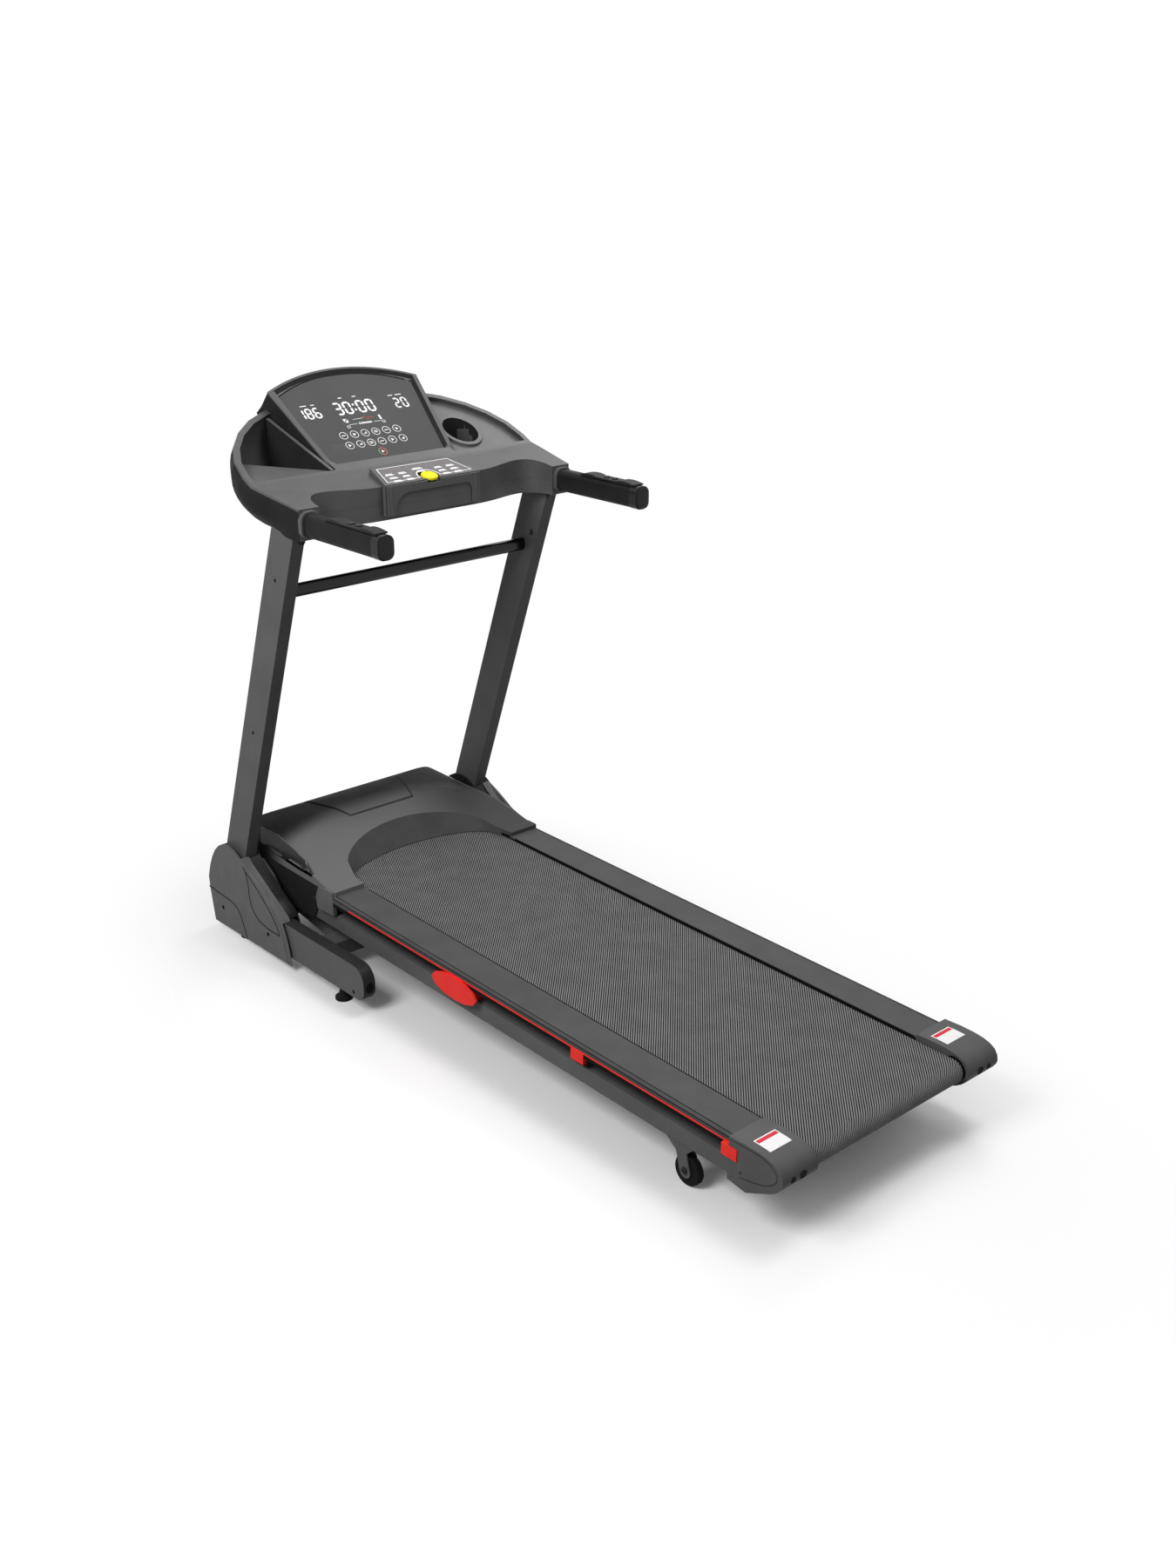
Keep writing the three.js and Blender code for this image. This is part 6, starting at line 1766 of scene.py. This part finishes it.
@dataclass
class Display:
    """Lit figures, touch rings and pictograms on the display film.

    Attributes:
        tilt: slope of the film, in degrees.
        foot_run: from the origin of the film's frame to its lower edge.
        film: thickness of the display panel under the film.
        sheet: how far the film's face stands off that panel.
        ink: how far a printed mark stands up.
        readings: text, left edge, bottom, figure width, height, gap and bar width of each reading.
        ring_rows: height up the slope and number of rings in each row.
        ring_start: middle of the first ring.
        ring_pitch: between rings.
        ring_radius: middle of a ring's line.
    """

    tilt: float = 38.5
    foot_run: float = 12.3
    film: float = 3.0
    sheet: float = 0.8
    ink: float = 0.3
    readings: tuple[tuple[str, float, float, float, float, float, float], ...] = (
        ("186", -149.0, 154.0, 17.0, 32.0, 3.6, 4.2),
        ("30:00", -64.5, 154.5, 21.0, 38.0, 4.6, 5.2),
        ("20", 97.5, 154.0, 16.5, 31.0, 4.0, 4.2),
    )
    label_bars: tuple[tuple[float, float, float], ...] = (
        (-145, -128.6, 194), (-117, -108, 194), (-38.5, -28.5, 204.5), (-0.5, 9.5, 204.5),
        (93, 106, 194), (113, 130, 194))
    ring_rows: tuple[tuple[float, int], ...] = ((96.3, 6), (66.8, 6))
    ring_start: float = -83.8
    ring_pitch: float = 28.9
    ring_radius: float = 9.8
    last_ring: Point = (-11.8, 37.7)

    def __post_init__(self) -> None:
        """Reads the film's frame from the display panel."""
        low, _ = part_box("display_panel")
        slope = math.radians(self.tilt)
        along = Vector((0, math.cos(slope), math.sin(slope)))
        corner = Vector((0, low.y, low.z + self.film * MM * math.cos(slope)))
        self.place = sheet_place(corner - along * self.foot_run * MM, slope)
        self.face = self.place @ Matrix.Translation(at(0, 0, self.sheet))

    def mark(self, piece: Piece, outline: Sequence[Point], material: int = 0) -> None:
        """Prints one closed outline."""
        add_plate(piece.bm, outline, self.ink, self.face, 0.0, material)

    def bar(self, piece: Piece, x0: float, x1: float, s0: float, s1: float, material: int = 0) -> None:
        """Prints a rectangle."""
        self.mark(piece, [(x0, s0), (x1, s0), (x1, s1), (x0, s1)], material)

    def figure(self, piece: Piece, text: str, left: float, low: float, width: float, height: float,
               stroke: float) -> None:
        """Prints one seven-bar figure.

        Args:
            piece: the piece it belongs to.
            text: the figure.
            left: its left edge.
            low: its lower edge.
            width: of the figure.
            height: of the figure.
            stroke: width of a bar.
        """
        right, top, mid = left + width, low + height, low + height / 2
        h, gap = stroke / 2, 0.5
        across = {"a": top - h, "g": mid, "d": low + h}
        upright = {"f": (left + h, mid, top - h), "b": (right - h, mid, top - h),
                   "e": (left + h, low + h, mid), "c": (right - h, low + h, mid)}
        for bar in FIGURES[text]:
            if bar in across:
                s, x0, x1 = across[bar], left + h + gap, right - h - gap
                self.mark(piece, [(x0, s), (x0 + h, s - h), (x1 - h, s - h), (x1, s), (x1 - h, s + h),
                                  (x0 + h, s + h)])
            else:
                x, s0, s1 = upright[bar]
                s0, s1 = s0 + gap, s1 - gap
                self.mark(piece, [(x, s0), (x + h, s0 + h), (x + h, s1 - h), (x, s1), (x - h, s1 - h),
                                  (x - h, s0 + h)])

    def figures(self) -> None:
        """Prints the three readings and the bare bars above them."""
        piece = Piece("display_figures", "base", "display_film", (WHITE_INK,))
        for text, left, low, width, height, gap, stroke in self.readings:
            x = left
            for sign in text:
                if sign == ":":
                    for s in (low + height * 0.3, low + height * 0.7):
                        self.bar(piece, x, x + stroke, s - stroke / 2, s + stroke / 2)
                    x += stroke + gap
                    continue
                wide = stroke if sign == "1" else width
                self.figure(piece, sign, x, low, wide, height, stroke)
                x += wide + gap
        for x0, x1, s in self.label_bars:
            self.bar(piece, x0, x1, s - 1.2, s + 1.2)
        piece.done()

    def pictograms(self) -> None:
        """Prints the plain pictograms between the readings and the rings."""
        piece = Piece("display_pictograms", "base", "display_film", (WHITE_INK, RED_INK))
        for i in range(4):
            for j in range(4):
                if (i * 3 + j * 5) % 4:
                    self.bar(piece, -60.5 + 3 * i, -58 + 3 * i, 131.5 + 3 * j, 134 + 3 * j)
        self.bar(piece, 34.7, 39.8, 128.5, 142.5)
        self.bar(piece, -25.0, -22.6, 121.8, 128.4)
        for i in range(7):
            self.bar(piece, -20 + 4.3 * i, -17 + 4.3 * i, 122.6, 127.6)
        self.bar(piece, -52, -30, 124.2, 125.2)
        self.bar(piece, 14, 34, 124.2, 125.2)
        for x0, s0 in ((-60.5, 115.5), (36.0, 118.5)):
            for box in ((0, 8, 0, 1), (0, 8, 6, 7), (0, 1, 1, 6), (7, 8, 1, 6)):
                self.bar(piece, x0 + box[0], x0 + box[1], s0 + box[2], s0 + box[3])
        pulse = [(-35, 138.6), (-12, 138.6), (-8, 141), (-4, 138.6), (0, 146.5), (3.5, 133.5),
                 (6, 138.6), (18, 138.6)]
        for (x0, s0), (x1, s1) in zip(pulse, pulse[1:]):
            red = 1 if x1 > -5 and x0 < 8 else 0
            self.mark(piece, [(x0, s0 - 0.45), (x1, s1 - 0.45), (x1, s1 + 0.45), (x0, s0 + 0.45)], red)
        piece.done()

    def glyph(self, piece: Piece, x: float, s: float, kind: int) -> None:
        """Prints a generic mark inside a ring.

        Args:
            piece: the piece it belongs to.
            x: the ring's middle.
            s: the ring's height up the slope.
            kind: which of the plain marks.
        """
        if kind % 4 == 0:
            self.bar(piece, x - 5, x + 5, s - 1.1, s + 1.1)
        elif kind % 4 == 1:
            self.mark(piece, [(x - 3, s - 4), (x + 4.5, s), (x - 3, s + 4)])
        elif kind % 4 == 2:
            for i in (-1, 0, 1):
                self.bar(piece, x + 3 * i - 1, x + 3 * i + 1, s - 3, s + 1 + 2 * i)
        else:
            self.bar(piece, x - 4.5, x + 4.5, s + 1, s + 3)
            self.bar(piece, x - 4.5, x + 4.5, s - 3, s - 1)

    def rings(self) -> None:
        """Prints the touch rings."""
        piece = Piece("display_rings", "base", "display_film", (WHITE_INK,))
        spots = [(self.ring_start + self.ring_pitch * i, s, i + row) for row, (s, count) in
                 enumerate(self.ring_rows) for i in range(count)]
        for x, s, kind in spots:
            add_ring(piece.bm, self.ring_radius, 1.3, self.ink,
                     self.face @ Matrix.Translation(at(x, s, 0)))
            self.glyph(piece, x, s, kind)
        piece.done()
        start = Piece("display_start_ring", "base", "display_film", (RED_INK, GREEN_INK, WHITE_INK))
        x, s = self.last_ring
        add_ring(start.bm, self.ring_radius, 1.6, self.ink,
                 self.face @ Matrix.Translation(at(x, s, 0)))
        for face in start.bm.faces:
            local = self.face.inverted() @ face.calc_center_median()
            if local.x < (x - 6) * MM:
                face.material_index = 1
        self.mark(start, [(x - 3, s - 4), (x + 4.5, s), (x - 3, s + 4)], 2)
        start.done()

    def build(self) -> None:
        """Prints everything on the film."""
        self.figures()
        self.pictograms()
        self.rings()


@dataclass
class Keypad:
    """White outline and keys of the membrane keypad.

    Attributes:
        slope: climb of the keypad, per unit of run.
        first: from the pod's rear to the membrane's lower edge.
        line: width of the printed outline.
        keys: middle, up-slope place and width of each key.
    """

    slope: float = 0.25
    rear: float = 444.2
    key_radius: float = 19.0
    first: float = 10.3
    thickness: float = 1.7
    line: float = 3.0
    ink: float = 0.3
    keys: tuple[tuple[float, float, float], ...] = tuple(
        (x, s, w) for s in (46.0, 29.0, 12.5) for x, w in ((-86.0, 22.0), (-52.0, 20.0), (45.0, 20.0),
                                                          (78.0, 22.0))) + ((-5.0, 41.0, 20.0),
                                                                            (-6.0, 55.0, 28.0))

    def __post_init__(self) -> None:
        """Reads the membrane's frame from the keypad."""
        low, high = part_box("keypad")
        tilt = math.atan(self.slope)
        along = Vector((0, math.cos(tilt), math.sin(tilt)))
        corner = Vector((0, low.y, low.z + self.thickness * MM * math.cos(tilt)))
        self.place = sheet_place(corner - along * self.first * MM, tilt)
        self.half = high.x / MM

    def outline(self, inset: float) -> list[Point]:
        """The membrane's border with its notch, moved inwards.

        Args:
            inset: how far inwards.

        Returns:
            Corners in the membrane's own frame.
        """
        front, back = self.first + inset, self.first + 71.4 - inset
        taper = 22 / 90
        near, far = self.half - inset, self.half - inset - taper * 71.4
        notch = 25 + inset
        arc = [(notch * math.cos(math.radians(a)), 18 + notch * math.sin(math.radians(a)))
               for a in range(0, 181, 15)]
        right = [(notch, front), (near, front), (far, back)]
        left = [(-x, s) for x, s in reversed(right)]
        return [*arc[::-1], *right, *left]

    def pod(self) -> None:
        """Builds the arched frame and the corner ribs on the pod's rear face."""
        face = Matrix.Translation(at(0, self.rear, 0)) @ Matrix.Rotation(math.pi / 2, 4, "X")
        arch = [(104, 1057.5), (104, 1088), (99, 1099), (88, 1104), (-66, 1104), (-84, 1101), (-96, 1091),
                (-103, 1076), (-106, 1057.5)]
        rim = [(126, 1057.5), *arch, (-126, 1057.5), (-126, 1123), (-17, 1123), (-17, 1116.3),
               (17, 1116.3), (17, 1123), (126, 1123)]
        frame_piece = Piece("pod_arch_frame", "base", "textured_abs", (CONSOLE_ABS,))
        add_plate(frame_piece.bm, rim, 4.0, face)
        for side in Side:
            corner = [(side.value * x, y) for x, y in ((128.5, 455), (117, 439.0), (111, 439.6), (111, 455))]
            add_sweep(frame_piece.bm, [[at(x, y, z) for x, y in corner] for z in (1057, 1122)])
        rounded(frame_piece.closed(), 1.5)

    def key(self) -> None:
        """Builds the flat disc of the safety key, set low in its notch."""
        low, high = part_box("safety_key")
        radius = self.key_radius
        middle = Vector(((low.x + high.x) / 2, (low.y + high.y) / 2 - 2 * MM, low.z + 7.5 * MM))
        disc = Piece("safety_key_disc", "safety_key", "yellow_key", (YELLOW_PLASTIC,))
        place = Matrix.Translation(middle) @ Matrix.Rotation(math.atan(self.slope), 4, "X")
        add_turned(disc.bm, [(0, 0), (radius - 2, 0), (radius, 1.6), (radius, 5.4), (radius - 1.8, 7.2),
                             (radius - 5, 7.6), (0, 7.6)], place, 48)
        stem = Matrix.Translation(middle - Vector((0, 0, 7 * MM)))
        add_turned(disc.bm, [(0, 0), (5, 0), (5, 7.5), (0, 7.5)], stem, 24)
        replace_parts(disc.done(), "safety_key")

    def build(self) -> None:
        """Prints the outline and the keys."""
        self.pod()
        self.key()
        piece = Piece("keypad_print", "base", "keypad_membrane", (WHITE_INK,))
        loop = self.outline(self.line / 2 + 0.3)
        points = [self.place @ at(x, s, 0) for x, s in loop]
        add_wire(piece.bm, points, self.line / 2, cyclic=True, smooth=False)
        flat = self.place @ Matrix.Diagonal((1, 1, 0.3, 1)) @ self.place.inverted()
        bmesh.ops.transform(piece.bm, matrix=flat, verts=piece.bm.verts)
        for x, s, width in self.keys:
            for shift, share in ((2.2, 0.8), (-2.2, 1.0)):
                half = width * share / 2
                add_plate(piece.bm, [(x - half, s + shift - 1.7), (x + half, s + shift - 1.7),
                                     (x + half, s + shift + 1.7), (x - half, s + shift + 1.7)],
                          self.ink, self.place)
        piece.done()


def main() -> None:
    """Builds the scene and every piece of the treadmill, in order."""
    logging.basicConfig(level=logging.INFO, format="%(name)s: %(message)s")
    Studio().build()
    FrameDressing().build()
    display, trim = Display(), DeckTrim()
    ConsoleShell().build(display)
    FrameTube().build(trim.place)
    for assembly in (BeltRibs(), trim, HoodTrim(), BaseTrim(), UprightTrim(), HandleTrim(), display,
                     Keypad()):
        log.info("building %s", type(assembly).__name__)
        assembly.build()
    bpy.context.view_layer.update()


if __name__ == "__main__":
    main()
